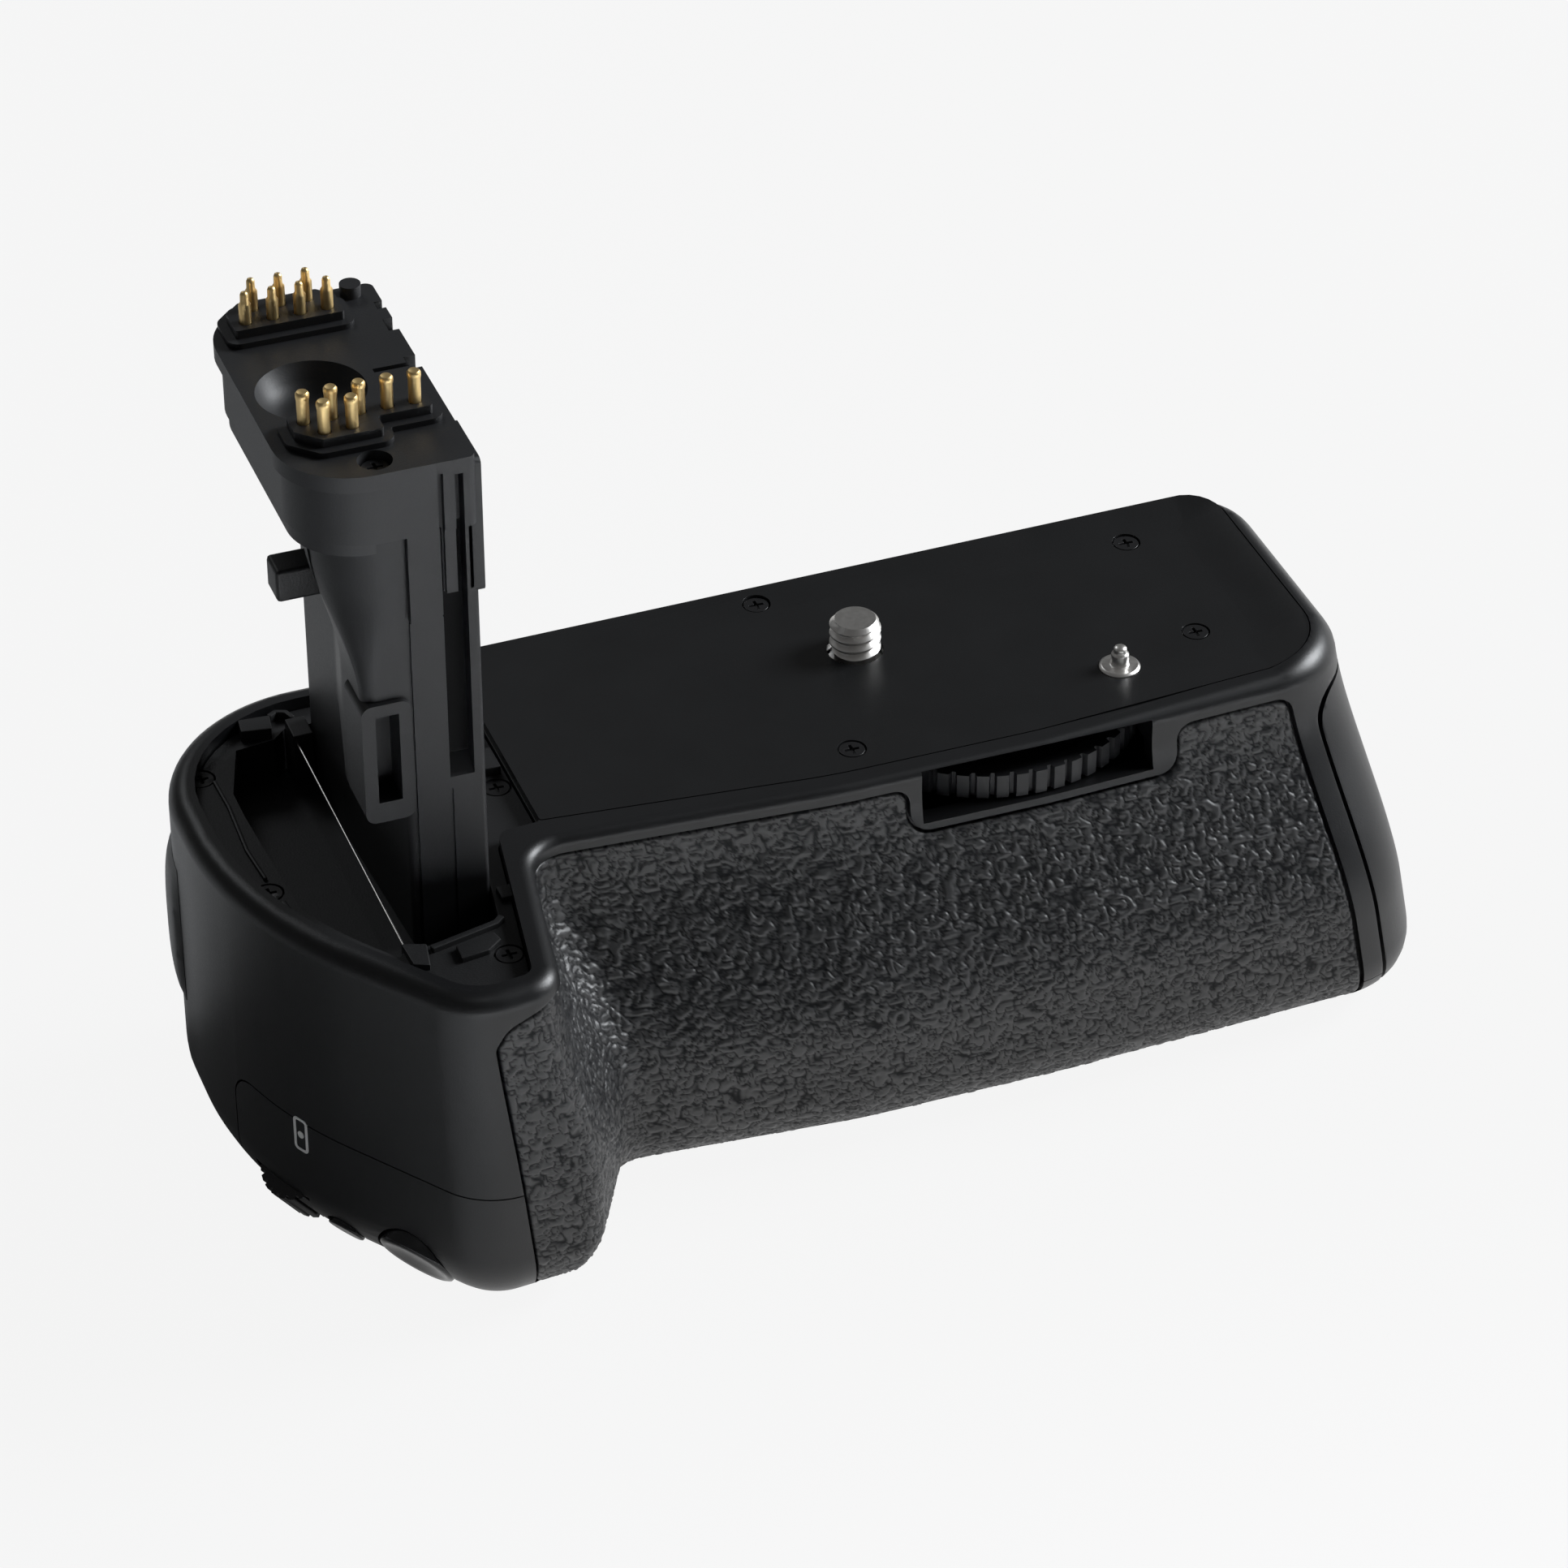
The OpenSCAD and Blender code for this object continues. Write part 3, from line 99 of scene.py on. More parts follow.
def corner_ways(corners, i):
    here = np.array(corners[i][:2])
    before = np.array(corners[i - 1][:2])
    after = np.array(corners[(i + 1) % len(corners)][:2])
    return unit(here - before), unit(after - here)


def turn_of(a, b):
    return a[0] * b[1] - a[1] * b[0]


def inset(corners, t):
    """A list of corners (x, y, radius), moved inwards by t."""
    moved = []
    for i, (x, y, r) in enumerate(corners):
        d1, d2 = corner_ways(corners, i)
        m = (left_of(d1) + left_of(d2)) / (1 + d1 @ d2)
        moved.append((x + t * m[0], y + t * m[1], max(r - t * np.sign(turn_of(d1, d2)), SHARP_R)))
    return moved


def outline(corners, steps):
    """The points of a closed outline, with as many steps round each corner as asked."""
    points = []
    for i, (x, y, r) in enumerate(corners):
        d1, d2 = corner_ways(corners, i)
        side = np.sign(turn_of(d1, d2))
        angle = math.acos(np.clip(d1 @ d2, -1, 1))
        start = np.array([x, y]) - d1 * r * math.tan(angle / 2)
        centre = start + left_of(d1) * side * r
        arm = start - centre
        for k in range(steps[i] + 1):
            a = side * angle * k / steps[i]
            points.append(centre + np.array([arm[0] * math.cos(a) - arm[1] * math.sin(a),
                                             arm[0] * math.sin(a) + arm[1] * math.cos(a)]))
    return np.array(points)


def smooth(s):
    """A soft step, from 0 at s = 0 to 1 at s = 1."""
    s = np.clip(s, 0.0, 1.0)
    return s * s * (3 - 2 * s)


def body_corners(z):
    """The body's corners at a height, anticlockwise from the back right."""
    w = smooth((-z - SWELL_START) / (SWELL_DEPTH - SWELL_START))
    right = RIGHT + END_SLOPE * max(-z, 0)
    front = -FRONT - FRONT_SWELL * w
    nose = -GRIP - GRIP_SWELL * w
    return [(right, BACK, BACK_RIGHT_R), (-LEFT, BACK, BACK_LEFT_R), (-LEFT, PALM_Y, PALM_R),
            (NOSE_X, nose, NOSE_R), (WEB_TOP[0] + WEB_SHIFT[0] * w, WEB_TOP[1] + nose, WEB_R),
            (WEB_FOOT[0] + WEB_SHIFT[1] * w, WEB_FOOT[1] + front, WEB_R), (BOW_X[0], front, BOW_R),
            (BOW_X[1], front, BOW_R), (right, END_BACK + front, FRONT_RIGHT_R)]


def plate_corners():
    right, back, front = RIGHT - RIM_W, BACK - BACK_RIM, RIM_W - FRONT
    return [(right, back, BACK_RIGHT_R - RIM_W), (-PLATE_LEFT, back, SHARP_R),
            (-PLATE_LEFT, PLATE_HEEL + front, SHARP_R), (BOW_X[0], front, BOW_R), (BOW_X[1], front, BOW_R),
            (right, END_BACK + front, FRONT_RIGHT_R - RIM_W)]


def bay_corners():
    b = inset(body_corners(0), BAY_RIM)
    right = -PLATE_LEFT - BAY_GAP
    return [(right, b[1][1], SHARP_R), b[1], b[2], b[3], b[4], (b[5][0], b[5][1], BAY_HEEL_R),
            (right, b[5][1] + BAY_GAP, SHARP_R)]


def lengths_along(line):
    """How far along a line of points each of them lies."""
    return np.concatenate([[0], np.cumsum(np.linalg.norm(np.diff(line, axis=0), axis=1))])


def at_height(points, z):
    return np.column_stack([points, np.full(len(points), z)])


def rounded_rect(low, high, r):
    return outline([(high[0], high[1], r), (low[0], high[1], r), (low[0], low[1], r), (high[0], low[1], r)],
                   [6] * 4)


# Meshes
def add_object(name, data):
    obj = bpy.data.objects.new(name, data)
    scene.collection.objects.link(obj)
    return obj


def new_object(name, verts, faces):
    mesh = bpy.data.meshes.new(name)
    mesh.from_pydata([tuple(float(c) * MM for c in v) for v in verts], [], faces)
    mesh.update()
    return add_object(name, mesh)


def ring_solid(name, rings):
    """A closed solid through rings of points, from the top one down."""
    n = len(rings[0])
    verts = [p for ring in rings for p in ring]
    faces = []
    for i in range(len(rings) - 1):
        for j in range(n):
            k = (j + 1) % n
            faces.append((i * n + j, (i + 1) * n + j, (i + 1) * n + k, i * n + k))
    faces.append(tuple(range(n)))
    faces.append(tuple(reversed(range((len(rings) - 1) * n, len(rings) * n))))
    return new_object(name, verts, faces)


def level_ring(z, t):
    return at_height(outline(inset(body_corners(z), t), CORNER_STEPS), z)


def edge_levels(low, r, steps):
    angles = [math.pi / 2 * k / steps for k in range(steps + 1)]
    return [(low + r * (1 - math.sin(a)), r * (1 - math.cos(a))) for a in angles]


def side_levels(top):
    return [(z, 0.0) for z in np.linspace(-RIM_DEPTH, EDGE_R - BODY_H, 22)[:-1] if z < top - 0.1]


def end_lift(x):
    """How far the upper face stands above the plate's level."""
    return END_LIFT * smooth((x - LIFT_X[0]) / (LIFT_X[1] - LIFT_X[0]))


def rim_ring(angle, t, reach=0.0, share=1.0):
    """A ring of the rounded upper edge; the end's lip can reach further in, at a share of its height."""
    corners = body_corners(0)
    side = outline(corners, CORNER_STEPS)
    below = outline(body_corners(-RIM_DEPTH), CORNER_STEPS)
    inward = outline(inset(corners, 1.0), CORNER_STEPS) - side
    r = np.interp(side[:, 0], ROUND_X, ROUND_R)
    lift = end_lift(side[:, 0])
    z = share * lift - r * (1 - math.sin(angle))
    slide = np.clip(-z / RIM_DEPTH, 0, 1)[:, None]
    in_by = t + r * (1 - math.cos(angle)) + reach * (0.01 + lift / END_LIFT)
    return np.column_stack([side + (below - side) * slide + inward * in_by[:, None], z])


def body_solid(name, t=0.0):
    top = math.pi / 2
    rings = [rim_ring(top, t, RIM_W + 4, 0.0), rim_ring(top, t, RIM_W)]
    rings += [rim_ring(a, t) for a in np.linspace(top, 0, 8)]
    levels = side_levels(-RIM_DEPTH + 1) + edge_levels(BOTTOM, EDGE_R, 9)
    return ring_solid(name, rings + [level_ring(z, i + t) for z, i in levels])


def hollow_solid(name):
    levels = [(CAVITY_TOP, 0.0)] + side_levels(CAVITY_TOP) + edge_levels(BOTTOM + WALL, EDGE_R - WALL, 6)
    return ring_solid(name, [level_ring(z, i + WALL) for z, i in levels])


def prism(name, points, low, high, axis="z"):
    """A polygon pulled out along an axis: the points are (x, y) for z, (x, z) for y and (y, z) for x."""
    n = len(points)
    spot = {"z": lambda p, h: (p[0], p[1], h), "y": lambda p, h: (p[0], h, p[1]),
            "x": lambda p, h: (h, p[0], p[1])}[axis]
    verts = [spot(p, low) for p in points] + [spot(p, high) for p in points]
    faces = [tuple(range(n)), tuple(range(n, 2 * n))]
    faces += [(j, (j + 1) % n, n + (j + 1) % n, n + j) for j in range(n)]
    obj = new_object(name, verts, faces)
    tidy_normals(obj)
    return obj


def box(name, low, high):
    return prism(name, [(low[0], low[1]), (high[0], low[1]), (high[0], high[1]), (low[0], high[1])],
                 low[2], high[2])


def corner_prism(name, corners, low, high, n=10):
    return prism(name, outline(corners, [n] * len(corners)), low, high)


def disc(name, centre, r, low, high, steps=64, axis="z"):
    angles = np.linspace(0, 2 * math.pi, steps, endpoint=False)
    points = np.column_stack([centre[0] + r * np.cos(angles), centre[1] + r * np.sin(angles)])
    return prism(name, points, low, high, axis)


def lathe(name, profile, steps):
    """A solid turned about z, from (radius, z) points that start and end on the axis."""
    verts, faces = [], []
    inner = profile[1:-1]
    for r, z in inner:
        for k in range(steps):
            a = 2 * math.pi * k / steps
            verts.append((r * math.cos(a), r * math.sin(a), z))
    for i in range(len(inner) - 1):
        for k in range(steps):
            j = (k + 1) % steps
            faces.append((i * steps + k, i * steps + j, (i + 1) * steps + j, (i + 1) * steps + k))
    verts += [(0, 0, profile[0][1]), (0, 0, profile[-1][1])]
    last = (len(inner) - 1) * steps
    for k in range(steps):
        j = (k + 1) % steps
        faces.append((len(verts) - 2, j, k))
        faces.append((len(verts) - 1, last + k, last + j))
    obj = new_object(name, verts, faces)
    tidy_normals(obj)
    return obj


def tidy_normals(obj):
    bm = bmesh.new()
    bm.from_mesh(obj.data)
    bmesh.ops.recalc_face_normals(bm, faces=bm.faces)
    bm.to_mesh(obj.data)
    bm.free()


def place(obj, matrix):
    obj.data.transform(matrix)
    return obj


def move(x, y, z=0.0):
    """A shift by millimetres."""
    return Matrix.Translation((x * MM, y * MM, z * MM))


def bake(obj):
    """Puts an object's modifiers into its mesh."""
    deps = bpy.context.evaluated_depsgraph_get()
    mesh = bpy.data.meshes.new_from_object(obj.evaluated_get(deps))
    old = obj.data
    obj.modifiers.clear()
    obj.data = mesh
    bpy.data.meshes.remove(old)
    return obj


def combine(obj, tools, operation="DIFFERENCE", keep=()):
    """Cuts, joins or crosses an object with tools, which are then deleted unless they are kept."""
    for tool in tools:
        m = obj.modifiers.new("cut", "BOOLEAN")
        m.operation = operation
        m.solver = "MANIFOLD"
        m.object = tool
        bake(obj)
    for tool in tools:
        if tool not in keep:
            bpy.data.objects.remove(tool)
    return obj


def copy_of(obj, name):
    twin = obj.copy()
    twin.data = obj.data.copy()
    twin.name = name
    scene.collection.objects.link(twin)
    return twin


def soften(obj, width, angle=35.0):
    """Rounds an object's sharp edges and shades the rest smooth."""
    bm = bmesh.new()
    bm.from_mesh(obj.data)
    bmesh.ops.remove_doubles(bm, verts=bm.verts, dist=2e-6)
    bmesh.ops.dissolve_degenerate(bm, edges=bm.edges, dist=1e-6)
    bmesh.ops.dissolve_limit(bm, angle_limit=math.radians(0.6), verts=bm.verts, edges=bm.edges)
    bm.to_mesh(obj.data)
    bm.free()
    obj.data.shade_smooth()
    if width > 0:
        m = obj.modifiers.new("edges", "BEVEL")
        m.width = width * MM
        m.segments = 2
        m.limit_method = "ANGLE"
        m.angle_limit = math.radians(angle)
        m.use_clamp_overlap = True
        bake(obj)
        obj.data.shade_smooth()
    obj.data.set_sharp_from_angle(angle=math.radians(angle))
    m = obj.modifiers.new("shading", "WEIGHTED_NORMAL")
    m.keep_sharp = True
    return bake(obj)


def merge(name, parts):
    """One object from several, which are deleted."""
    bm = bmesh.new()
    for part in parts:
        bm.from_mesh(part.data)
        bpy.data.objects.remove(part)
    mesh = bpy.data.meshes.new(name)
    bm.to_mesh(mesh)
    bm.free()
    return add_object(name, mesh)


# Materials
# The rubber's specular level, low in the creases and high on the folds: the low level in the creases is
# painted shade.
FOLD, PAINTED_CREASE_SHINE, FOLD_SHINE = "fold", 0.12, 0.85
MOTTLE_SCALE, MOTTLE_STOPS, MOTTLE_SHARES = 90.0, (0.3, 0.7), (0.86, 1.14)


def add_node(tree, kind, values=None, links=None):
    """A node with constants and links, by the names or numbers of its sockets."""
    node = tree.nodes.new("ShaderNode" + kind)
    for socket, value in (values or {}).items():
        node.inputs[socket].default_value = value
    for socket, source in (links or {}).items():
        tree.links.new(source, node.inputs[socket])
    return node


def material(name, base, grain, rough, metallic=0.0, specular=0.5):
    """A node material: a mottled colour, and a grain (scale, strength, depth) that varies its roughness."""
    mat = bpy.data.materials.new(name)
    mat.use_nodes = True
    tree = mat.node_tree
    shader = tree.nodes["Principled BSDF"]
    shader.inputs["Metallic"].default_value = metallic
    shader.inputs["Roughness"].default_value = sum(rough) / 2
    shader.inputs["Specular IOR Level"].default_value = specular
    spot = add_node(tree, "TexCoord").outputs["Object"]
    mottle = add_node(tree, "TexNoise", {"Scale": MOTTLE_SCALE, "Detail": 6.0}, {"Vector": spot})
    ramp = add_node(tree, "ValToRGB", links={"Fac": mottle.outputs["Fac"]})
    for stop, at, share in zip(ramp.color_ramp.elements, MOTTLE_STOPS, MOTTLE_SHARES):
        stop.position = at
        stop.color = (*[c * share for c in base], 1)
    scale, strength, depth = grain
    fine = add_node(tree, "TexNoise", {"Scale": scale, "Detail": 3.0}, {"Vector": spot}).outputs["Fac"]
    bump = add_node(tree, "Bump", {"Strength": strength, "Distance": depth}, {"Height": fine})
    spread = add_node(tree, "MapRange", {"To Min": rough[0], "To Max": rough[1]}, {"Value": fine})
    tree.links.new(ramp.outputs["Color"], shader.inputs["Base Color"])
    tree.links.new(bump.outputs["Normal"], shader.inputs["Normal"])
    tree.links.new(spread.outputs["Result"], shader.inputs["Roughness"])
    return mat


def rubber_material():
    """Dark rubber whose creases get a far lower specular level than its folds: painted shade in the creases.
    """
    mat = material("grip_rubber", (0.0085, 0.0089, 0.01), (2600.0, 0.25, 0.00008), (0.4, 0.54))
    tree = mat.node_tree
    fold = add_node(tree, "Attribute")
    fold.attribute_name = FOLD
    shine = add_node(tree, "MapRange", {"To Min": PAINTED_CREASE_SHINE, "To Max": FOLD_SHINE},
                     {"Value": fold.outputs["Fac"]})
    tree.links.new(shine.outputs["Result"], tree.nodes["Principled BSDF"].inputs["Specular IOR Level"])
    return mat


CASING = material("casing_plastic", (0.007, 0.0073, 0.0082), (5200.0, 0.25, 0.00005), (0.32, 0.45))
TOWER = material("tower_plastic", (0.015, 0.0155, 0.017), (4200.0, 0.25, 0.00005), (0.42, 0.56), 0.0, 0.46)
BAY = material("bay_plastic", (0.01, 0.0102, 0.011), (4200.0, 0.3, 0.00006), (0.42, 0.6))
# Near-black with little specular: painted shade for the floor of the tower's groove.
PAINTED_SHADE = material("painted_shade_plastic", (0.004, 0.004, 0.0045), (4200.0, 0.25, 0.00005), (0.6, 0.75), 0.0, 0.15)
RUBBER = rubber_material()
PLATE = material("plate_paint", (0.0095, 0.0098, 0.0105), (6000.0, 0.3, 0.00004), (0.28, 0.4))
SCREW = material("black_screw", (0.012, 0.012, 0.013), (3500.0, 0.2, 0.00004), (0.22, 0.4))
NICKEL = material("nickel", (0.84, 0.82, 0.79), (1800.0, 0.05, 0.00002), (0.26, 0.4), 1.0)
GILT = material("gilt", (0.95, 0.7, 0.33), (1500.0, 0.02, 0.00001), (0.36, 0.44), 1.0)
GLOSS = material("button_plastic", (0.012, 0.012, 0.013), (2400.0, 0.12, 0.00004), (0.14, 0.26))
BOARD = material("board", (0.02, 0.12, 0.06), (900.0, 0.2, 0.00005), (0.28, 0.45))
PRINT = material("white_print", (0.78, 0.78, 0.77), (2600.0, 0.2, 0.00004), (0.45, 0.6))


# Pieces on the frame
BODY_OF = {n: b for b, members in record["behaviour"]["bodies"].items() for n in members}


def add_detail(obj, node, mat):
    """Adds a piece that rides with a node of the frame, with its material."""
    obj.data.materials.clear()
    obj.data.materials.append(mat)
    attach(obj, BODY_OF[node])
    return obj


def stand_for(obj, node, mat):
    """Makes a piece stand for a node of the frame."""
    add_detail(obj, node, mat)
    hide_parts(node)


def dress(node, mat, width):
    """The node's own shape with its edges rounded."""
    obj = add_object(node + "_piece", frame["nodes"][node].data.copy())
    stand_for(soften(obj, width), node, mat)


# Shares of the casing
END_ROUND = 3.5


def end_zone(g):
    top, low, x = MOUTH_TOP + g, BOTTOM - 1, MOUTH_X - g
    corners = [(x - END_SLOPE * top, top, END_ROUND), (FAR, top, SHARP_R), (FAR, low, SHARP_R),
               (x - END_SLOPE * low, low, SHARP_R)]
    return prism("end_zone", outline(corners, [10, 1, 1, 1]), -FAR, FAR, "y")


def bottom_zone(g):
    return box("bottom_zone", (-FAR, -FAR, BOTTOM - 1), (FAR, FAR, BOTTOM_SEAM + g))


def rear_zone(g):
    return box("rear_zone", (-FAR, REAR_SEAM - g, BOTTOM - 1), (FAR, FAR, REAR_TOP + g))


# The palm's wall, which the controls follow
PALM = np.array([-LEFT, PALM_Y])
NOSE = np.array([NOSE_X, -GRIP - GRIP_SWELL])
WALL_WAY = unit(NOSE - PALM)
WALL_OUT = np.array([WALL_WAY[1], -WALL_WAY[0]])
WALL_AZ = math.atan2(WALL_OUT[1], WALL_OUT[0])
PALM_BEND = PALM_R * math.tan(math.acos(-WALL_WAY[1]) / 2)


def wall_frame():
    """Maps (out of the palm wall, along it, up) to the frame."""
    return move(*PALM) @ Matrix.Rotation(WALL_AZ, 4, "Z")


def edge_frame(u, dip):
    """A frame on the hand grip's lower edge: z out of it, y along it and x down it."""
    d = math.radians(dip)
    bend = max(PALM_BEND - u, 0)
    drop = EDGE_R * (1 - math.cos(d)) + bend ** 2 / (2 * PALM_R)
    p = PALM + WALL_WAY * u - WALL_OUT * drop
    z = BOTTOM + EDGE_R * (1 - math.sin(d))
    turn = Matrix.Rotation(WALL_AZ - bend / PALM_R, 4, "Z") @ Matrix.Rotation(math.pi / 2 + d, 4, "Y")
    return move(p[0], p[1], z) @ turn


CONTROL_SPAN, CONTROL_DEEP, CONTROL_ROUND = (-3.5, 41.0), 13.0, 4.0


def control_zone(g):
    near, far = CONTROL_SPAN[0] - g, CONTROL_SPAN[1] + g
    top = CONTROL_TOP + g
    points = [(far, BOTTOM - 1), (far, top)]
    for a in np.linspace(math.pi / 2, math.pi, 9):
        points.append((near + CONTROL_ROUND + CONTROL_ROUND * math.cos(a),
                       top - CONTROL_ROUND + CONTROL_ROUND * math.sin(a)))
    points.append((near, BOTTOM - 1))
    zone = prism("control_zone", points, -CONTROL_DEEP - g, 60, "x")
    return place(zone, wall_frame())


RUBBER_FOOT, RUBBER_SHOULDER, RUBBER_BEND, RUBBER_START = -59.0, (-63.0, -7.0), (-61.5, -4.6), -55.5
NOTCH = (SLOT_X[0] - SLOT_FRAME[0], SLOT_X[1] + SLOT_FRAME[1])
NOTCH_LOW = SLOT_BOTTOM - 1.0


def rubber_left(z):
    """Where the rubber's left border lies at a height, below its shoulder."""
    share = (z - RUBBER_BOTTOM) / (RUBBER_SHOULDER[1] - RUBBER_BOTTOM)
    return RUBBER_FOOT + (RUBBER_SHOULDER[0] - RUBBER_FOOT) * share


def rubber_right(z):
    return RUBBER_RIGHT - END_SLOPE * z


def rubber_outline(g=0.0):
    """The rubber's outline seen from the front, as (x, z) points with rounded corners."""
    low, top = RUBBER_BOTTOM, RUBBER_TOP
    corners = [(rubber_left(low), low, 1.5), (rubber_right(low), low, 1.5), (rubber_right(top), top, 2.4),
               (NOTCH[1], top, 2.0), (NOTCH[1], NOTCH_LOW, 2.6), (NOTCH[0], NOTCH_LOW, 2.6),
               (NOTCH[0], top, 2.0), (RUBBER_START, top, 2.0), (*RUBBER_BEND, 3.0), (*RUBBER_SHOULDER, 2.0)]
    return outline(inset(corners, -g), [6] * len(corners))


def rubber_bed():
    """The room for the rubber in the casing, with a seam round it."""
    zone = prism("rubber_zone", rubber_outline(SEAM), -FAR, -14, "y")
    return combine(zone, [body_solid("inside", RUBBER_T + 0.05)])


# Screw places
BAY_SCREWS = [(-81.8, 3.9), (-80.5, -20.5), (-58.1, -41.2), (-49.4, -10.0)]
PLATE_SCREWS = [(-8.0, 13.2), (40.3, 9.9), (40.5, -11.2), (-7.9, -19.5)]


def casing_solid(name):
    solid = body_solid(name)
    plate, bay = plate_corners(), bay_corners()
    tools = [hollow_solid("hollow"),
             corner_prism("plate_seat", inset(plate, -SEAM), -PLATE_T, 3),
             corner_prism("plate_hole", inset(plate, LEDGE), CAVITY_TOP - 1, 3),
             corner_prism("bay_seat", inset(bay, -SEAM), DECK_Z, 1),
             corner_prism("bay_hole", inset(bay, LEDGE), CAVITY_TOP - 1, 1)]
    return combine(solid, tools)


def build_casing():
    casing = casing_solid("casing")
    bed = rubber_bed()
    shell = copy_of(casing, "main_shell_piece")
    outer, inner = -FRONT - 5, -FRONT + 8
    roof = [(outer, SLOT_LIP), (-FRONT + 0.3, SLOT_LIP), (-FRONT + 2.6, SLOT_TOP), (inner, SLOT_TOP)]
    slot = prism("slot", roof + [(inner, SLOT_BOTTOM), (outer, SLOT_BOTTOM)], *SLOT_X, "x")
    room = disc("wheel_room", WHEEL_AT, WHEEL_R + 0.6, SLOT_BOTTOM, -3.2, 96)
    combine(shell, [slot, room, end_zone(SEAM), control_zone(SEAM), bottom_zone(SEAM), rear_zone(SEAM)])
    combine(shell, [bed], keep=[bed])
    rear = copy_of(casing, "rear_cover_piece")
    combine(rear, [rear_zone(0)], "INTERSECT")
    combine(rear, [end_zone(SEAM), control_zone(SEAM), bottom_zone(SEAM)] + rear_button_holes())
    bottom = copy_of(casing, "bottom_cover_piece")
    combine(bottom, [bottom_zone(0)], "INTERSECT")
    combine(bottom, [end_zone(SEAM), control_zone(SEAM)] + base_holes())
    combine(bottom, [bed], keep=[bed])
    control = copy_of(casing, "control_cover_piece")
    combine(control, [control_zone(0)], "INTERSECT")
    combine(control, control_cuts())
    combine(control, [bed])
    cap = body_solid("magazine_cap_piece")
    combine(cap, [end_zone(-GROOVE)], "INTERSECT")
    combine(cap, knob_cuts())
    bpy.data.objects.remove(casing)
    for piece, node in ((shell, "main_shell"), (rear, "rear_cover"), (bottom, "bottom_cover"),
                        (control, "control_cover"), (cap, "magazine_cap")):
        stand_for(soften(piece, CAP_EDGE if piece == cap else CASE_EDGE), node, CASING)


REAR_BUTTONS, SMALL_R = ((110, 8.8), (127, 14.0), (144, 8.8)), 2.4
LEVER_X, LEVER_H, LEVER_HOLE_R, LEVER_DEEP = -40, 16, 1.55, 2.1


def corner_frame(angle, height):
    """A frame on the back left corner, with z out of it."""
    a = math.radians(angle)
    x = BACK_LEFT_R - LEFT + BACK_LEFT_R * math.cos(a)
    y = BACK - BACK_LEFT_R + BACK_LEFT_R * math.sin(a)
    return move(x, y, BOTTOM + height) @ Matrix.Rotation(a, 4, "Z") @ Matrix.Rotation(math.pi / 2, 4, "Y")


def rear_button_holes():
    holes = [place(disc("button_hole", (0, 0), SMALL_R + 0.25, -6, 4, 48), corner_frame(angle, height))
             for angle, height in REAR_BUTTONS]
    lever = disc("lever_hole", (0, 0), LEVER_HOLE_R, -LEVER_DEEP, 3, 32)
    place(lever, move(LEVER_X, BACK, BOTTOM + LEVER_H) @ Matrix.Rotation(-math.pi / 2, 4, "X"))
    return holes + [lever]


BASE_SCREWS = [(-40, -20), (-40, 4), (36, -20), (36, 4)]
BASE_SEAT_R, BASE_SEAT, SOCKET_AT, SOCKET_HOLE_R = 2.3, 1.6, (0.0, -7.6), 5.05


def base_holes():
    holes = [disc("socket_hole", SOCKET_AT, SOCKET_HOLE_R, BOTTOM - 1, BOTTOM + 8)]
    holes += [disc("seat", p, BASE_SEAT_R, BOTTOM - 1, BOTTOM + BASE_SEAT, 40) for p in BASE_SCREWS]
    return holes


SHUTTER_U, SHUTTER_DIP, SHUTTER_R = 24.8, 32, 5.0
AREA_U, AREA_DIP = 14.2, 36
DIAL_U, DIAL_DIP, DIAL_R, DIAL_W, DIAL_PROUD = 4.9, 36, 5.5, 6.0, 1.2


def control_cuts():
    shutter = place(disc("shutter_hole", (0, 0), SHUTTER_R + 0.3, -8, 6), edge_frame(SHUTTER_U, SHUTTER_DIP))
    area = place(disc("area_hole", (0, 0), SMALL_R + 0.3, -8, 6), edge_frame(AREA_U, AREA_DIP))
    half = DIAL_W / 2 + 0.3
    pocket = disc("dial_pocket", (0, 0), DIAL_R + 0.6, -half, half)
    place(pocket, Matrix.Rotation(math.pi / 2, 4, "Y"))
    place(pocket, edge_frame(DIAL_U, DIAL_DIP) @ move(0, 0, DIAL_PROUD - DIAL_R))
    return [shutter, area, pocket]


KNOB_R, KNOB_DEPTH, KNOB_RECESS = 8.0, 24.0, 3.3


def end_frame():
    """A frame on the magazine's end, with z out of it."""
    turn = Matrix.Rotation(math.pi / 2 - math.atan(END_SLOPE), 4, "Y")
    return move(RIGHT + END_SLOPE * KNOB_DEPTH, SOCKET_AT[1], -KNOB_DEPTH) @ turn


def knob_cuts():
    return [place(disc("knob_recess", (0, 0), KNOB_R + 0.3, -KNOB_RECESS, 20, 96), end_frame())]


# Plate
HEAD_SEAT_R, HEAD_SEAT = 1.8, 0.8
STUD_HOLE_R, LOCATOR_AT, LOCATOR_HOLE_R = 3.5, (28.8, -14.8), 2.65


def build_plate():
    steps = [6, 2, 2, 12, 12, 14]
    edge = outline(plate_corners(), steps)
    rings = []
    for t in (LIFT_REACH, 6.5, 5.0, 3.8, 2.7, 1.8, 1.0, 0.4, 0.0):
        points = outline(inset(plate_corners(), t), steps)
        rings.append(np.column_stack([points, end_lift(edge[:, 0]) * (1 - t / LIFT_REACH) ** 2]))
    rings.append(at_height(edge, -PLATE_T))
    plate = ring_solid("top_plate_piece", rings)
    holes = [disc("seat", p, HEAD_SEAT_R, -HEAD_SEAT, 2, 40) for p in PLATE_SCREWS]
    holes.append(disc("stud_hole", (0, 0), STUD_HOLE_R, -3, 2))
    holes.append(disc("pin_hole", LOCATOR_AT, LOCATOR_HOLE_R, -3, 2))
    combine(plate, holes)
    stand_for(soften(plate, 0.12, 50), "top_plate", PLATE)


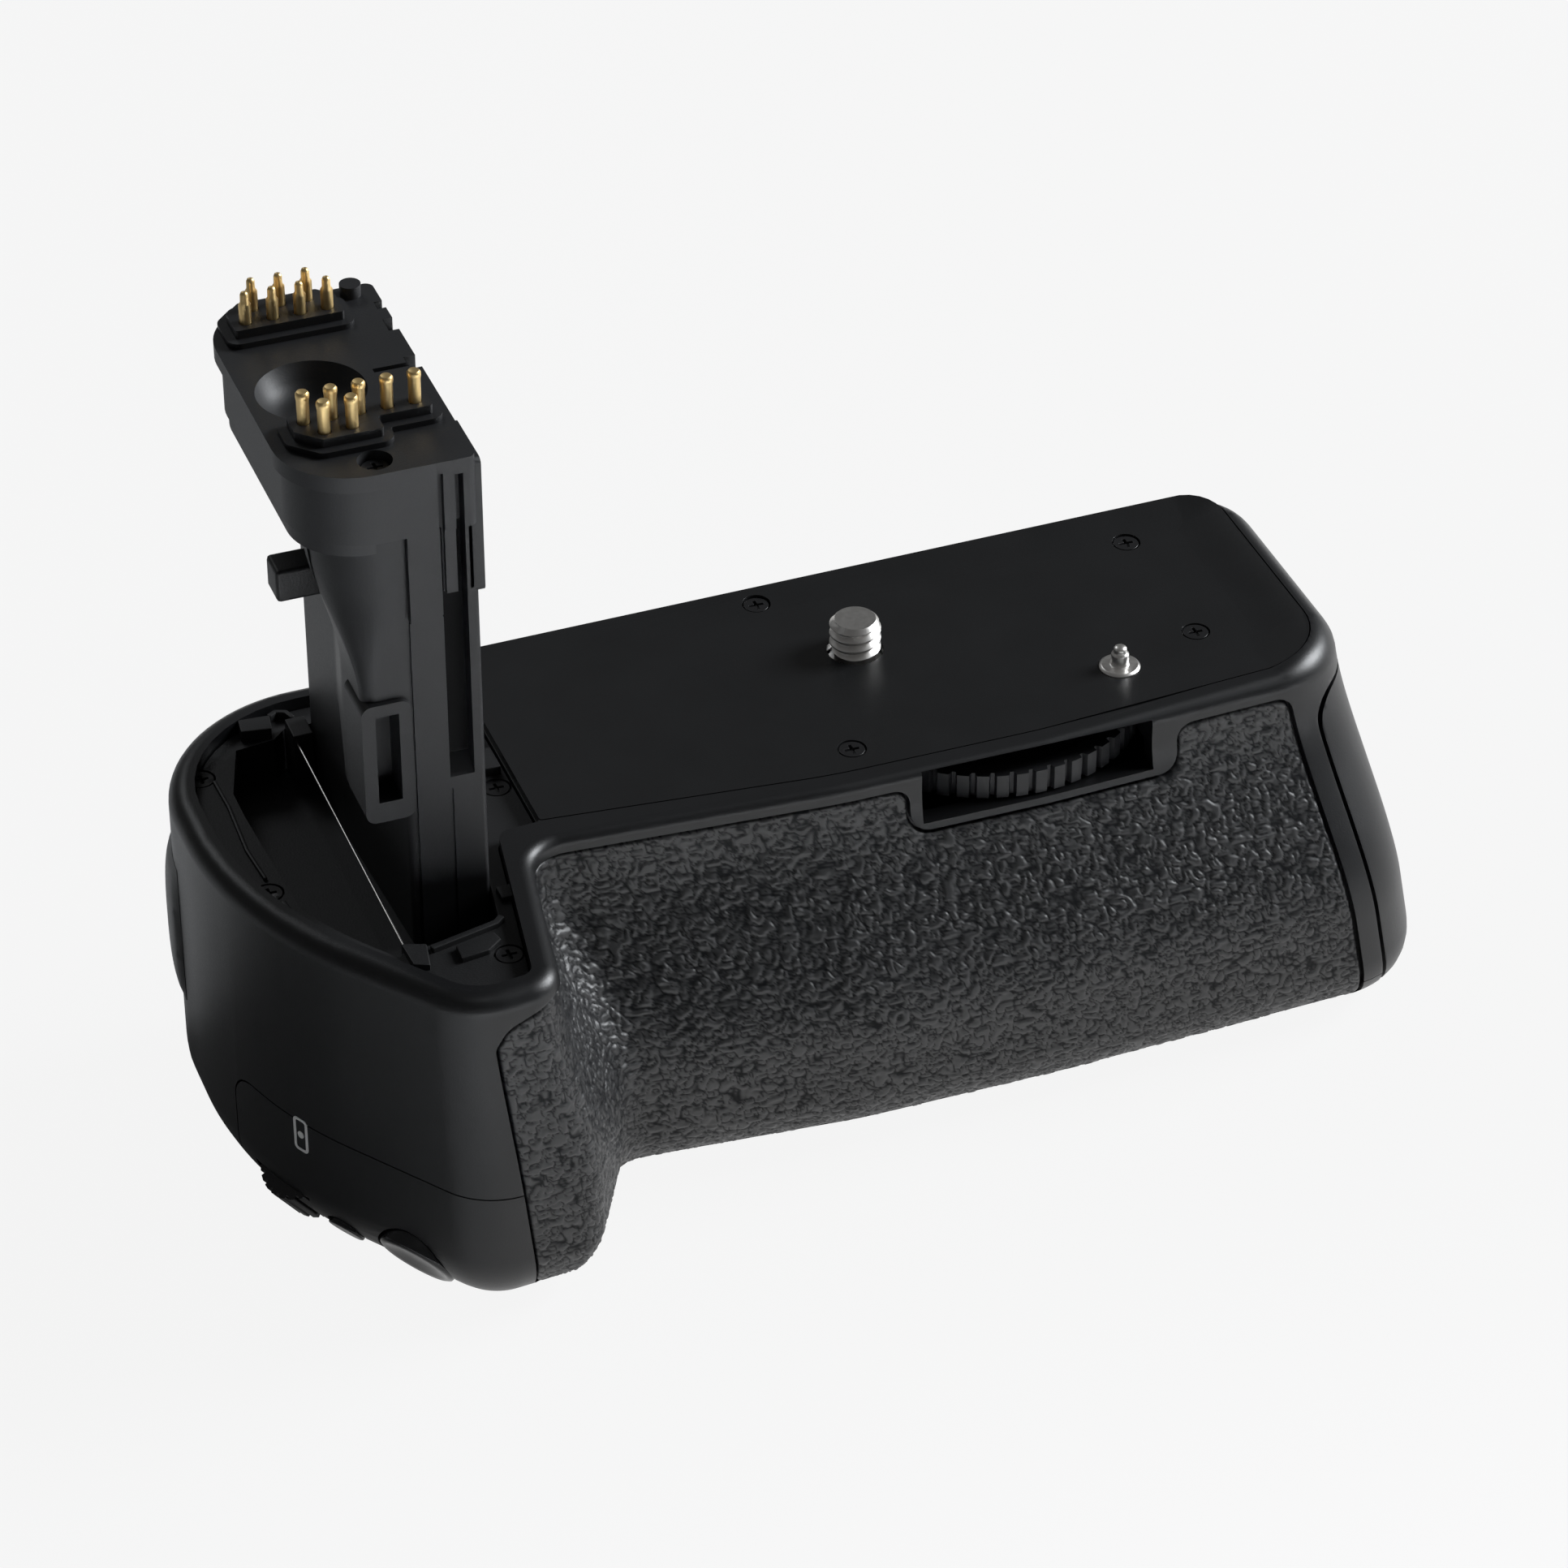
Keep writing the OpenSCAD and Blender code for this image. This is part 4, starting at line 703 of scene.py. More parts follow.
# Bay
POCKET = [(-76.3, 8.0), (-79.0, -0.3), (-79.0, -4.9), (-78.5, -15.8), (-77.8, -25.7), (-76.2, -30.5),
          (-75.6, -33.5), (-71.5, -39.0), (-69.0, -36.4), (-64.0, -36.6), (-57.6, -35.2), (-55.2, -33.0),
          (-55.0, 10.3), (-69.6, 10.3), (-71.4, 8.6)]
RIB_NEAR = [(-80.5, 2.6), (-80.3, -3.0), (-80.7, -12.0), (-80.2, -18.2)]
RIB_FAR = [(-79.6, -23.2), (-79.2, -26.2), (-77.6, -29.9), (-75.7, -32.8)]
ARC = [(-71.0, 12.2), (-70.0, 12.9), (-68.8, 12.4), (-68.3, 11.0)]
HOOK = [(-66.3, -37.7), (-63.3, -37.0), (-57.9, -35.7), (-56.9, -34.8)]
LEFT_CLIP = [(-74.9, 11.9), (-71.0, 11.6), (-71.5, 8.8), (-75.2, 9.4)]
MID_CLIP = [(-69.6, 6.2), (-67.1, 6.2), (-67.1, 10.1), (-69.6, 10.1)]
BRACKET = [(-69.4, -36.0), (-66.6, -37.0), (-67.4, -41.0), (-69.2, -40.2)]
PAD = [(-63.6, -38.4), (-58.7, -37.4), (-58.3, -39.0), (-60.2, -40.5), (-63.7, -41.0)]
TAB = [(-55.9, -29.4), (-52.9, -29.3), (-53.2, -31.7), (-55.9, -31.7)]
NOTCH_PIECE = [(-50.8, -3.4), (-48.0, -3.4), (-48.0, -7.6), (-50.8, -7.6)]
ROD_X, ROD_Z, ROD_R, ROD_Y = -69.1, -1.2, 0.13, (-37.0, 7.0)
DECK = -BAY_DECK


def ribbon(name, line, width, low, high):
    """A strip of even width along a line of points."""
    line = np.array(line)
    way = np.gradient(line, axis=0)
    side = np.array([left_of(unit(w)) for w in way]) * width / 2
    return prism(name, np.concatenate([line + side, (line - side)[::-1]]), low, high)


def bay_details():
    sunk = DECK - 0.2
    return [ribbon("near_rib", RIB_NEAR, 0.5, sunk, DECK + 0.45),
            ribbon("far_rib", RIB_FAR, 0.6, sunk, DECK + 0.6),
            ribbon("arc", ARC, 0.7, sunk, DECK + 1.1),
            ribbon("hook", HOOK, 0.9, DECK - 0.6, DECK + 0.7),
            prism("left_clip", LEFT_CLIP, sunk, DECK + 1.6),
            prism("mid_clip", MID_CLIP, -BAY_FLOOR - 0.2, 0),
            prism("bracket", BRACKET, DECK - 3, DECK + 0.8),
            prism("pad", PAD, sunk, DECK + 0.7),
            prism("tab", TAB, sunk, DECK + 0.7),
            prism("notch_piece", NOTCH_PIECE, sunk, DECK + 1.2)]


def build_bay():
    bay = bay_corners()
    inner = inset(bay, LEDGE + 0.3)
    tray = corner_prism("bay_tray_piece", bay, DECK_Z, DECK)
    block = box("block", (-82, -44, -BAY_FLOOR - 1.2), (-53.6, 13, DECK_Z + 0.1))
    combine(tray, [combine(block, [corner_prism("inner", inner, -20, 5)], "INTERSECT")], "UNION")
    pocket = prism("pocket", POCKET, -BAY_FLOOR, 3)
    combine(tray, [combine(pocket, [corner_prism("inner", inner, -20, 5)], "INTERSECT")])
    combine(tray, [disc("seat", p, HEAD_SEAT_R, DECK - HEAD_SEAT, 2, 40) for p in BAY_SCREWS])
    pieces = [soften(tray, 0.2, 30)] + [soften(piece, 0.2, 30) for piece in bay_details()]
    stand_for(merge("bay_tray_piece", pieces), "bay_tray", BAY)
    rod = disc("door_rod", (ROD_X, ROD_Z), ROD_R, *ROD_Y, 16, "y")
    add_detail(soften(rod, 0.0), "bay_tray", NICKEL)


# Rear thumb rest
PAD_T, PAD_RIGHT, PAD_TURN, PAD_LOW, PAD_HIGH = 1.4, -58.0, 178.0, -29.0, -9.5


def pad_line(count):
    """Points round the back left corner, with their outward ways."""
    turn = np.linspace(math.pi / 2, math.radians(PAD_TURN), 40)
    centre = np.array([BACK_LEFT_R - LEFT, BACK - BACK_LEFT_R])
    arc = centre + BACK_LEFT_R * np.column_stack([np.cos(turn), np.sin(turn)])
    line = np.concatenate([[(PAD_RIGHT, BACK)], arc])
    length = lengths_along(line)
    at = np.linspace(0, length[-1], count)
    points = np.column_stack([np.interp(at, length, line[:, k]) for k in (0, 1)])
    way = np.gradient(points, axis=0)
    return points, np.column_stack([way[:, 1], -way[:, 0]]) / np.linalg.norm(way, axis=1)[:, None]


def build_thumb_pad():
    points, out = pad_line(48)
    swell_along = 1 - np.abs(np.linspace(-1, 1, len(points))) ** 4
    rings = []
    for v in np.linspace(1, -1, 22):
        z = PAD_LOW + (PAD_HIGH - PAD_LOW) * (v + 1) / 2
        rise = PAD_T * np.sqrt(np.clip(1 - abs(v) ** 3, 0, 1)) * np.sqrt(swell_along)
        ring = np.concatenate([points + out * rise[:, None] + out * 0.05, (points - out * 0.2)[::-1]])
        rings.append(at_height(ring, z))
    pad = ring_solid("rear_thumb_pad_piece", rings)
    tidy_normals(pad)
    stand_for(soften(pad, 0.0, 40), "rear_thumb_pad", CASING)


# Controls on the hand grip
MARK_U, MARK_Z, MARK_SIZE, MARK_LINE, MARK_DOT = 9.1, -29.4, (2.3, 4.9), 0.38, 0.5


def build_shutter():
    r, low = SHUTTER_R, -5.0
    profile = [(0, low), (r, low), (r, -0.35), (r - 0.15, 0.0), (r - 0.6, 0.2), (r - 1.1, 0.08),
               (r - 2.4, -0.3), (1.2, -0.5), (0, -0.52)]
    obj = place(lathe("shutter_button_piece", profile, 72), edge_frame(SHUTTER_U, SHUTTER_DIP))
    stand_for(soften(obj, 0.0, 45), "shutter_button", GLOSS)


def build_mark():
    """A plain printed frame with a dot, beside the dial."""
    bend = max(PALM_BEND - MARK_U, 0)
    p = PALM + WALL_WAY * MARK_U - WALL_OUT * (bend ** 2 / (2 * PALM_R))
    at = move(p[0], p[1], MARK_Z) @ Matrix.Rotation(WALL_AZ - bend / PALM_R, 4, "Z")
    half = np.array(MARK_SIZE) / 2
    thin = (-0.3, 0.04)
    border = prism("mark", rounded_rect(-half, half, 0.6), *thin, "x")
    combine(border, [prism("inside", rounded_rect(MARK_LINE - half, half - MARK_LINE, 0.3), -1, 1, "x")])
    dot = disc("dot", (0, 0), MARK_DOT, *thin, 24, "x")
    add_detail(place(merge("grip_mark", [border, dot]), at), "control_cover", PRINT)


# Leather grain
def cell_hash(ix, iy, iz, salt):
    """A number from 0 to 1 for each cell of a lattice, mixed by large odd factors."""
    h = (ix * 374761393 + iy * 668265263 + iz * 2147483647 + salt * 974634777) & 0xFFFFFFFF
    h = ((h ^ (h >> 13)) * 1274126177) & 0xFFFFFFFF
    h = ((h ^ (h >> 16)) * 2246822519) & 0xFFFFFFFF
    return ((h ^ (h >> 15)) & 0xFFFFFF) / float(0xFFFFFF)


def value_noise(p, salt):
    """Smooth noise at points, from 0 to 1."""
    base = np.floor(p).astype(np.int64)
    f = smooth(p - base)
    total = np.zeros(len(p))
    for corner in itertools.product((0, 1), repeat=3):
        weight = np.prod(np.where(corner, f, 1 - f), axis=1)
        total += weight * cell_hash(*(base + corner).T, salt)
    return total


GRAIN_MM, GRAIN_HEIGHT, FOLD_WIDTH, CREASE_WIDTH = 0.66, 0.2, 0.22, 0.08
BEND_MM, BEND, STRETCH, SWELL_MM, SWELL_HEIGHT = 1.4, 1.2, np.array([0.7, 1.0, 1.0]), 2.4, 0.08
SECOND_SCALE, SECOND_SHIFT = 0.8, 40


def leather(p):
    """The wrinkled grain at points in millimetres: its height, and 0 in a crease to 1 on a fold."""
    bend = np.column_stack([value_noise(p / BEND_MM, salt) for salt in (11, 12, 13)]) - 0.5
    q = p * STRETCH / GRAIN_MM + BEND * bend
    first = np.abs(value_noise(q, 31) - 0.5)
    second = np.abs(value_noise(q * SECOND_SCALE + SECOND_SHIFT, 32) - 0.5)
    rise = smooth(first / FOLD_WIDTH) * smooth(second / FOLD_WIDTH)
    flat_part = smooth(first / CREASE_WIDTH) * smooth(second / CREASE_WIDTH)
    swells = value_noise(p / SWELL_MM, 21) - 0.5
    return GRAIN_HEIGHT * (rise - 1) + SWELL_HEIGHT * swells, flat_part


# Front rubber
def front_curve(z):
    """The body's outline at a height, with its length measured from the nose."""
    inset_z = 0.0
    if z < EDGE_R - BODY_H:
        rise = EDGE_R - BODY_H - z
        inset_z = EDGE_R - math.sqrt(max(EDGE_R ** 2 - rise ** 2, 0))
    steps = (2, 2, 8, 40, 40, 60, 60, 60, 40)
    nose = sum(s + 1 for s in steps[:3])
    points = outline(inset(body_corners(z), inset_z), steps)[nose:]
    return points, lengths_along(points)


def edge_distance(points, ring):
    """How far each point lies inside a closed outline: below zero outside it."""
    best = np.full(len(points), 1e9)
    inside = np.zeros(len(points), bool)
    for a, b in zip(ring, np.roll(ring, -1, axis=0)):
        way = b - a
        t = np.clip((points - a) @ way / max(way @ way, 1e-12), 0, 1)
        best = np.minimum(best, np.linalg.norm(points - a - t[:, None] * way, axis=1))
        if a[1] != b[1]:
            crosses = (a[1] > points[:, 1]) != (b[1] > points[:, 1])
            inside ^= crosses & (points[:, 0] < a[0] + (points[:, 1] - a[1]) * way[0] / way[1])
    return np.where(inside, best, -best)


RUBBER_PITCH, RUBBER_ROLL, RUBBER_SPAN = 0.2, 0.9, 150


def rubber_grid():
    """Points over the front, row by row from the top, with their outward normals."""
    rows = int((RUBBER_TOP - RUBBER_BOTTOM) / RUBBER_PITCH)
    columns = int(RUBBER_SPAN / RUBBER_PITCH)
    grid = []
    for z in np.linspace(RUBBER_TOP, RUBBER_BOTTOM, rows):
        points, length = front_curve(z)
        ends = np.interp((min(rubber_left(z), RUBBER_START), rubber_right(z)), points[:, 0], length)
        s = np.linspace(*ends, columns)
        grid.append(at_height(np.column_stack([np.interp(s, length, points[:, k]) for k in (0, 1)]), z))
    grid = np.array(grid)
    normal = np.cross(np.gradient(grid, axis=0), np.gradient(grid, axis=1))
    return grid, normal / np.linalg.norm(normal, axis=2, keepdims=True)


def add_skirt(obj, feet):
    """Turns a skin's open border down to the points given for its vertices."""
    bm = bmesh.new()
    bm.from_mesh(obj.data)
    count = len(bm.verts)
    bm.verts.index_update()
    border = [e for e in bm.edges if e.is_boundary]
    made = bmesh.ops.extrude_edge_only(bm, edges=border)["geom"]
    for v in [g for g in made if isinstance(g, bmesh.types.BMVert)]:
        old = [e.other_vert(v).index for e in v.link_edges if 0 <= e.other_vert(v).index < count]
        v.co = Vector((feet[old[0]] * MM).tolist())
    bmesh.ops.recalc_face_normals(bm, faces=bm.faces)
    bm.to_mesh(obj.data)
    bm.free()


def build_front_grip():
    """The rubber's skin: its border lies on the outline and rolls over, and the rest is wrinkled."""
    grid, normal = rubber_grid()
    rows, columns = grid.shape[:2]
    flat, out = grid.reshape(-1, 3), normal.reshape(-1, 3)
    ring = rubber_outline()
    edge = edge_distance(flat[:, [0, 2]], ring)
    near = np.abs(edge) < RUBBER_PITCH / 2
    step = 1e-3
    slope = np.column_stack([edge_distance(flat[near][:, [0, 2]] + shift, ring) - edge[near]
                             for shift in ((step, 0), (0, step))]) / step
    flat[near, 0] -= edge[near] * slope[:, 0]
    flat[near, 2] -= edge[near] * slope[:, 1]
    edge[near] = 0.0
    keep = edge >= 0
    roll = np.clip(1 - edge / RUBBER_ROLL, 0, 1)
    grain, fold = leather(flat)
    height = grain * (1 - roll) - RUBBER_ROLL * (1 - np.sqrt(np.clip(1 - roll * roll, 0, 1)))
    lifted = flat + out * height[:, None]
    index = -np.ones(rows * columns, int)
    index[keep] = np.arange(keep.sum())
    index = index.reshape(rows, columns)
    faces = []
    for i in range(rows - 1):
        for j in range(columns - 1):
            quad = (index[i, j], index[i + 1, j], index[i + 1, j + 1], index[i, j + 1])
            if min(quad) >= 0:
                faces.append(quad)
    obj = new_object("front_grip_piece", lifted[keep], faces)
    # The fold share, from 0 in a crease to 1 on a fold, which the rubber's material turns into painted shade
    # in the creases.
    shine = obj.data.attributes.new(FOLD, "FLOAT", "POINT")
    shine.data.foreach_set("value", fold[keep].astype(np.float32))
    add_skirt(obj, flat[keep] - out[keep] * (RUBBER_T - 0.05))
    obj.data.shade_smooth()
    stand_for(obj, "front_grip", RUBBER)


# Camera screw and locating pin
THREAD_PITCH, THREAD_DEPTH, STUD_R, STUD_TOP, STUD_LOW, STUD_TIP = 1.27, 0.62, 3.175, 4.5, -3.5, 0.75
STUD_NECK_TOP, STUD_NECK_R, STUD_SHANK_TOP, STUD_SHANK_R = 0.25, 2.55, -1.5, 2.2
FLANK_SLOPE, CREST = 2.6, 0.15


def screw_radius(z, turn):
    """The stud's radius at a height and a share of a turn, with its thread, undercut, tip and shank."""
    if z < STUD_SHANK_TOP:
        return STUD_SHANK_R
    phase = (z / THREAD_PITCH - turn) % 1.0
    ridge = min(1.0, max(0.0, FLANK_SLOPE * abs(phase - 0.5) - CREST))
    radius = STUD_R - THREAD_DEPTH * ridge
    if z < STUD_NECK_TOP:
        radius = min(radius, STUD_NECK_R)
    return min(radius, STUD_R + 0.1 - max(0.0, z - STUD_TOP + STUD_TIP))


def build_camera_screw():
    steps = 96
    angles = 2 * math.pi * np.arange(steps) / steps
    rings = []
    for z in np.linspace(STUD_TOP, STUD_LOW, 170):
        radii = np.array([screw_radius(z, k / steps) for k in range(steps)])
        rings.append(at_height(np.column_stack([radii * np.cos(angles), radii * np.sin(angles)]), z))
    obj = ring_solid("camera_screw_piece", rings)
    tidy_normals(obj)
    obj.data.shade_smooth()
    obj.data.set_sharp_from_angle(angle=math.radians(40))
    stand_for(obj, "camera_screw", NICKEL)


def build_locating_pin():
    low, collar, flange, r, top = -1.7, 3.35, 2.55, 1.1, 3.0
    neck = 0.82
    profile = [(0, low), (collar, low), (collar, -1.2), (flange, -1.2), (flange, 0.1), (flange - 0.3, 0.35),
               (r + 0.1, 0.4), (r, 0.5), (r, top - 1.1), (neck, top - 0.85), (neck, top - 0.4)]
    profile += [(neck * math.cos(a), top - 0.4 + 0.4 * math.sin(a)) for a in np.linspace(0.2, 1.35, 6)]
    profile.append((0, top))
    obj = lathe("locating_pin_piece", profile, 72)
    place(obj, move(*LOCATOR_AT))
    stand_for(soften(obj, 0.06, 30), "locating_pin", NICKEL)


# Tower
TOWER_LEFT, TOWER_RIGHT, TOWER_FRONT, TOWER_BACK = 77.0, 56.3, 29.0, 9.5
TOWER_H, HEAD_LOW, HEAD_PROUD = 58.5, 49.5, 0.7
COLUMN_LEFT, WEB_LEFT, BASE_LEFT, WEB_FRONT, FLARE = 70.4, 66.8, 65.6, -5.0, 3.6
FLARE_Z, OVERHANG = (28.0, 47.0), 11.9
GROOVE_X, GROOVE_LOW, GROOVE_DEEP, LEG_LOW = (-60.6, -57.7), 14.0, 2.2, 38.0
CATCH_Y, CATCH_Z, CATCH_HALF = -14.0, 37.0, 2.4
COLUMN_FLAT, CORNER_R, TURN_RISE, LINE_W = -64.9, 1.8, 13.0, 0.35
WINDOW_X, WINDOW_Z, WINDOW_DEEP = (-69.3, -66.5), (14.6, 26.4), 3.4
WINDOW_FRAME_X, WINDOW_FRAME_TOP, WINDOW_FRAME_PROUD = (-70.9, -65.0), 28.0, 0.7
AHEAD, BELOW = -40, -20
WEB_CORNERS = [(-TOWER_RIGHT, TOWER_BACK, 1.0), (-WEB_LEFT, TOWER_BACK, 1.5), (-WEB_LEFT, WEB_FRONT, 8)]
WEB_TURN, RIGHT_CORNER = -20, (-TOWER_RIGHT, -TOWER_FRONT, 0.6)


def column_corners(z):
    """The column's corners at a height: its front flares out to the left under the head."""
    left = COLUMN_LEFT + FLARE * smooth((z - FLARE_Z[0]) / (FLARE_Z[1] - FLARE_Z[0]))
    turn = CORNER_R + (left + COLUMN_FLAT - CORNER_R) * smooth((z - FLARE_Z[0] - 1) / TURN_RISE)
    return WEB_CORNERS + [(-left, WEB_TURN, 8), (-left, -TOWER_FRONT, turn), RIGHT_CORNER]


def base_corners():
    """The narrower column below the window's frame."""
    return WEB_CORNERS + [(-BASE_LEFT, -TOWER_FRONT, 1.2), RIGHT_CORNER]


def head_corners(t=0.0):
    front = -TOWER_FRONT - HEAD_PROUD
    return [(-TOWER_RIGHT, TOWER_BACK, 1.0), (t - TOWER_LEFT, TOWER_BACK, 8.0), (t - TOWER_LEFT, front, 9.0),
            (-TOWER_RIGHT, front, 1.0)]


def build_column():
    rings = []
    for z in np.concatenate([[HEAD_LOW], np.linspace(FLARE_Z[1], FLARE_Z[0], 12), [OVERHANG]]):
        rings.append(at_height(outline(column_corners(z), [8] * 6), z))
    column = ring_solid("tower_column_piece", rings)
    face = -TOWER_FRONT
    surround = rounded_rect((WINDOW_FRAME_X[0], OVERHANG), (WINDOW_FRAME_X[1], WINDOW_FRAME_TOP), 1.3)
    combine(column, [corner_prism("base", base_corners(), -BAY_FLOOR, HEAD_LOW - 1, 8),
                     corner_prism("collar", inset(head_corners(), 1.2), HEAD_LOW - 2.0, HEAD_LOW, 14),
                     prism("window_frame", surround, face - WINDOW_FRAME_PROUD, face + 6, "y")], "UNION")
    floor_y = face + GROOVE_DEEP
    slope = [(face - 3, GROOVE_LOW - 1), (floor_y, GROOVE_LOW + 3.5), (floor_y, HEAD_LOW + 1),
             (face - 3, HEAD_LOW + 1)]
    cuts = [box("window", (WINDOW_X[0], AHEAD, WINDOW_Z[0]), (WINDOW_X[1], face + WINDOW_DEEP, WINDOW_Z[1])),
            prism("groove", slope, *GROOVE_X, "x"),
            box("front_line", (COLUMN_FLAT, AHEAD, BELOW), (COLUMN_FLAT + LINE_W, face + LINE_W, HEAD_LOW)),
            box("leg_line", (COLUMN_FLAT, AHEAD, LEG_LOW - LINE_W), (GROOVE_X[0], face + LINE_W, LEG_LOW)),
            box("side_line", (GROOVE_X[0], AHEAD, BELOW), (GROOVE_X[0] + 0.3, face + 0.25, GROOVE_LOW)),
            corner_prism("inside", inset(base_corners(), 2.4), -BAY_FLOOR + 2, HEAD_LOW + 1),
            box("catch_hole", (-90, CATCH_Y - CATCH_HALF, CATCH_Z - CATCH_HALF),
                (-65.2, CATCH_Y + CATCH_HALF, CATCH_Z + CATCH_HALF))]
    combine(column, cuts)
    stand_for(soften(column, 0.22, 30), "tower_column", TOWER)
    # A dark sheet on the groove's floor: painted shade that makes the channel darker than its own shadow
    # does.
    shade_sheet = box("groove_painted_shade", (GROOVE_X[0], floor_y - 0.1, GROOVE_LOW + 3.6),
                (GROOVE_X[1], floor_y + 0.1, HEAD_LOW))
    add_detail(soften(shade_sheet, 0.0), "tower_column", PAINTED_SHADE)


DISH_AT, DISH_R, DISH_DEEP = (-69.4, -10.5), 6.3, 3.2
CAP_SCREW, CAP_SCREW_SEAT, CAP_RECESS_R = (-67.0, -26.7), 56.85, 2.0
LIP_Z, LEG_X, RIB_X, RIB_LOW = 56.5, (-64.6, -60.9), (-60.4, -58.9), 41.0
POST_AT, POST_R, SIDE_LEG_W, SIDE_LEG_Z = (-59.3, 7.7), 1.25, 9, (40.0, 57.5)
SLIT_LOW, GAP_TOP, LINE_TOP = 30, 56.6, 57.0
NOTCHES = ((1.4, -10.0, 2.6, 2.2), (1.2, -1.4, 2.6, 1.6), (5.4, -9.4, 0.8, 0.8), (1.0, 3.6, 1.6, 1.2))


def build_cap():
    cap = corner_prism("tower_cap_piece", head_corners(), LIP_Z, TOWER_H, 16)
    band = corner_prism("band", head_corners(0.8), HEAD_LOW, LIP_Z + 0.2, 16)
    face = -TOWER_FRONT - HEAD_PROUD
    root = -TOWER_FRONT + 1.5
    leg = box("leg", (LEG_X[0], face, LEG_LOW), (LEG_X[1], root, HEAD_LOW + 1))
    rib = box("rib", (RIB_X[0], face + 0.3, RIB_LOW), (RIB_X[1], root, HEAD_LOW + 1))
    flank = rounded_rect((-TOWER_FRONT, SIDE_LEG_Z[0]), (-TOWER_FRONT + SIDE_LEG_W, SIDE_LEG_Z[1]), 0.8)
    side = prism("side_leg", flank, -TOWER_RIGHT - 1, -TOWER_RIGHT + 0.7, "x")
    post = disc("post", POST_AT, POST_R, TOWER_H - 1, TOWER_H + 1.5, 32)
    combine(cap, [band, leg, rib, side, post], "UNION")
    bowl = lathe("bowl", [(0, -DISH_DEEP), (2.4, -DISH_DEEP), (4.0, -DISH_DEEP + 0.5),
                          (5.3, -DISH_DEEP + 1.5), (DISH_R, 0), (DISH_R, 2), (0, 2)], 72)
    place(bowl, move(*DISH_AT, TOWER_H))
    recess = disc("recess", CAP_SCREW, CAP_RECESS_R, CAP_SCREW_SEAT, TOWER_H + 2, 48)
    gap = box("gap", (RIB_X[1], face - 3, SLIT_LOW), (RIB_X[1] + 1.0, -TOWER_FRONT + 1.2, GAP_TOP))
    line = box("line", (LEG_X[1], face - 3, SLIT_LOW), (LEG_X[1] + 0.7, face + 0.9, LINE_TOP))
    notches = [box("notch", (-TOWER_RIGHT - d, y, TOWER_H - low), (-TOWER_RIGHT + 3, y + w, TOWER_H + 3))
               for d, y, w, low in NOTCHES]
    combine(cap, [bowl, recess, gap, line] + notches)
    stand_for(soften(cap, 0.28, 30), "tower_cap", TOWER)


PIN_PITCH, REAR_ROW, FRONT_ROW, REAR_Y, FRONT_Y, ROW_GAP = 3.2, -72.9, -72.8, 3.2, -19.3, 2.6
REAR_SHIFT, FRONT_SHIFT, CHAMFER, BLOCK_R, PIN_HOLE_R = 1.5, 1.6, 1.8, 0.4, 0.8
BLOCK_H, PLINTH_H, PLINTH_W, BLOCK_RIM, PIN_TOP, PIN_FOOT = 1.8, 0.7, 1.1, 1.6, 64.3, 55.0


def pin_places():
    rear = [(REAR_ROW + k * PIN_PITCH, REAR_Y) for k in range(4)]
    rear += [(REAR_ROW + REAR_SHIFT + k * PIN_PITCH, REAR_Y + ROW_GAP) for k in range(3)]
    front = [(FRONT_ROW + k * PIN_PITCH, FRONT_Y) for k in range(5)]
    front += [(FRONT_ROW + FRONT_SHIFT + k * PIN_PITCH, FRONT_Y - ROW_GAP) for k in range(2)]
    return rear, front


def build_block(node, points, holes):
    corners = [(x, y, BLOCK_R) for x, y in points]
    block = corner_prism(node + "_piece", corners, TOWER_H + PLINTH_H - 0.2, TOWER_H + BLOCK_H, 4)
    plinth = corner_prism("plinth", inset(corners, -PLINTH_W), TOWER_H, TOWER_H + PLINTH_H, 4)
    combine(block, [plinth], "UNION")
    combine(block, [disc("hole", p, PIN_HOLE_R, TOWER_H - 1, TOWER_H + 4, 32) for p in holes])
    stand_for(soften(block, 0.2, 30), node, TOWER)


def build_blocks():
    rear, front = pin_places()
    left, right = REAR_ROW - BLOCK_RIM, REAR_ROW + 3 * PIN_PITCH + BLOCK_RIM
    low, high = REAR_Y - BLOCK_RIM, REAR_Y + ROW_GAP + BLOCK_RIM
    build_block("rear_contact_block", [(right, high - CHAMFER), (right - CHAMFER, high),
                                       (left + CHAMFER, high), (left, high - CHAMFER), (left, low),
                                       (right, low)], rear)
    left, right = FRONT_ROW - BLOCK_RIM, FRONT_ROW + 4 * PIN_PITCH + BLOCK_RIM
    low, high = FRONT_Y - BLOCK_RIM, FRONT_Y + BLOCK_RIM
    step, foot = FRONT_ROW + 2 * PIN_PITCH + BLOCK_RIM, low - ROW_GAP
    build_block("front_contact_block", [(right, high), (left, high), (left, low), (left + ROW_GAP, foot),
                                        (step, foot), (step, low), (right, low)], front)


def build_pins():
    rear, front = pin_places()
    slim = [(0, PIN_FOOT), (0.72, PIN_FOOT), (0.72, PIN_TOP - 1.7), (0.5, PIN_TOP - 1.35),
            (0.48, PIN_TOP - 0.4), (0.36, PIN_TOP - 0.12), (0.15, PIN_TOP), (0, PIN_TOP)]
    headed = [(0, PIN_FOOT), (0.7, PIN_FOOT), (0.72, PIN_TOP - 1.2), (0.8, PIN_TOP - 0.7),
              (0.78, PIN_TOP - 0.3), (0.6, PIN_TOP - 0.06), (0.3, PIN_TOP), (0, PIN_TOP)]
    for node, places, profile in (("rear_pins", rear, slim), ("front_pins", front, headed)):
        pins = [place(lathe("pin", profile, 28), move(x, y)) for x, y in places]
        stand_for(soften(merge(node + "_piece", pins), 0.0, 40), node, GILT)


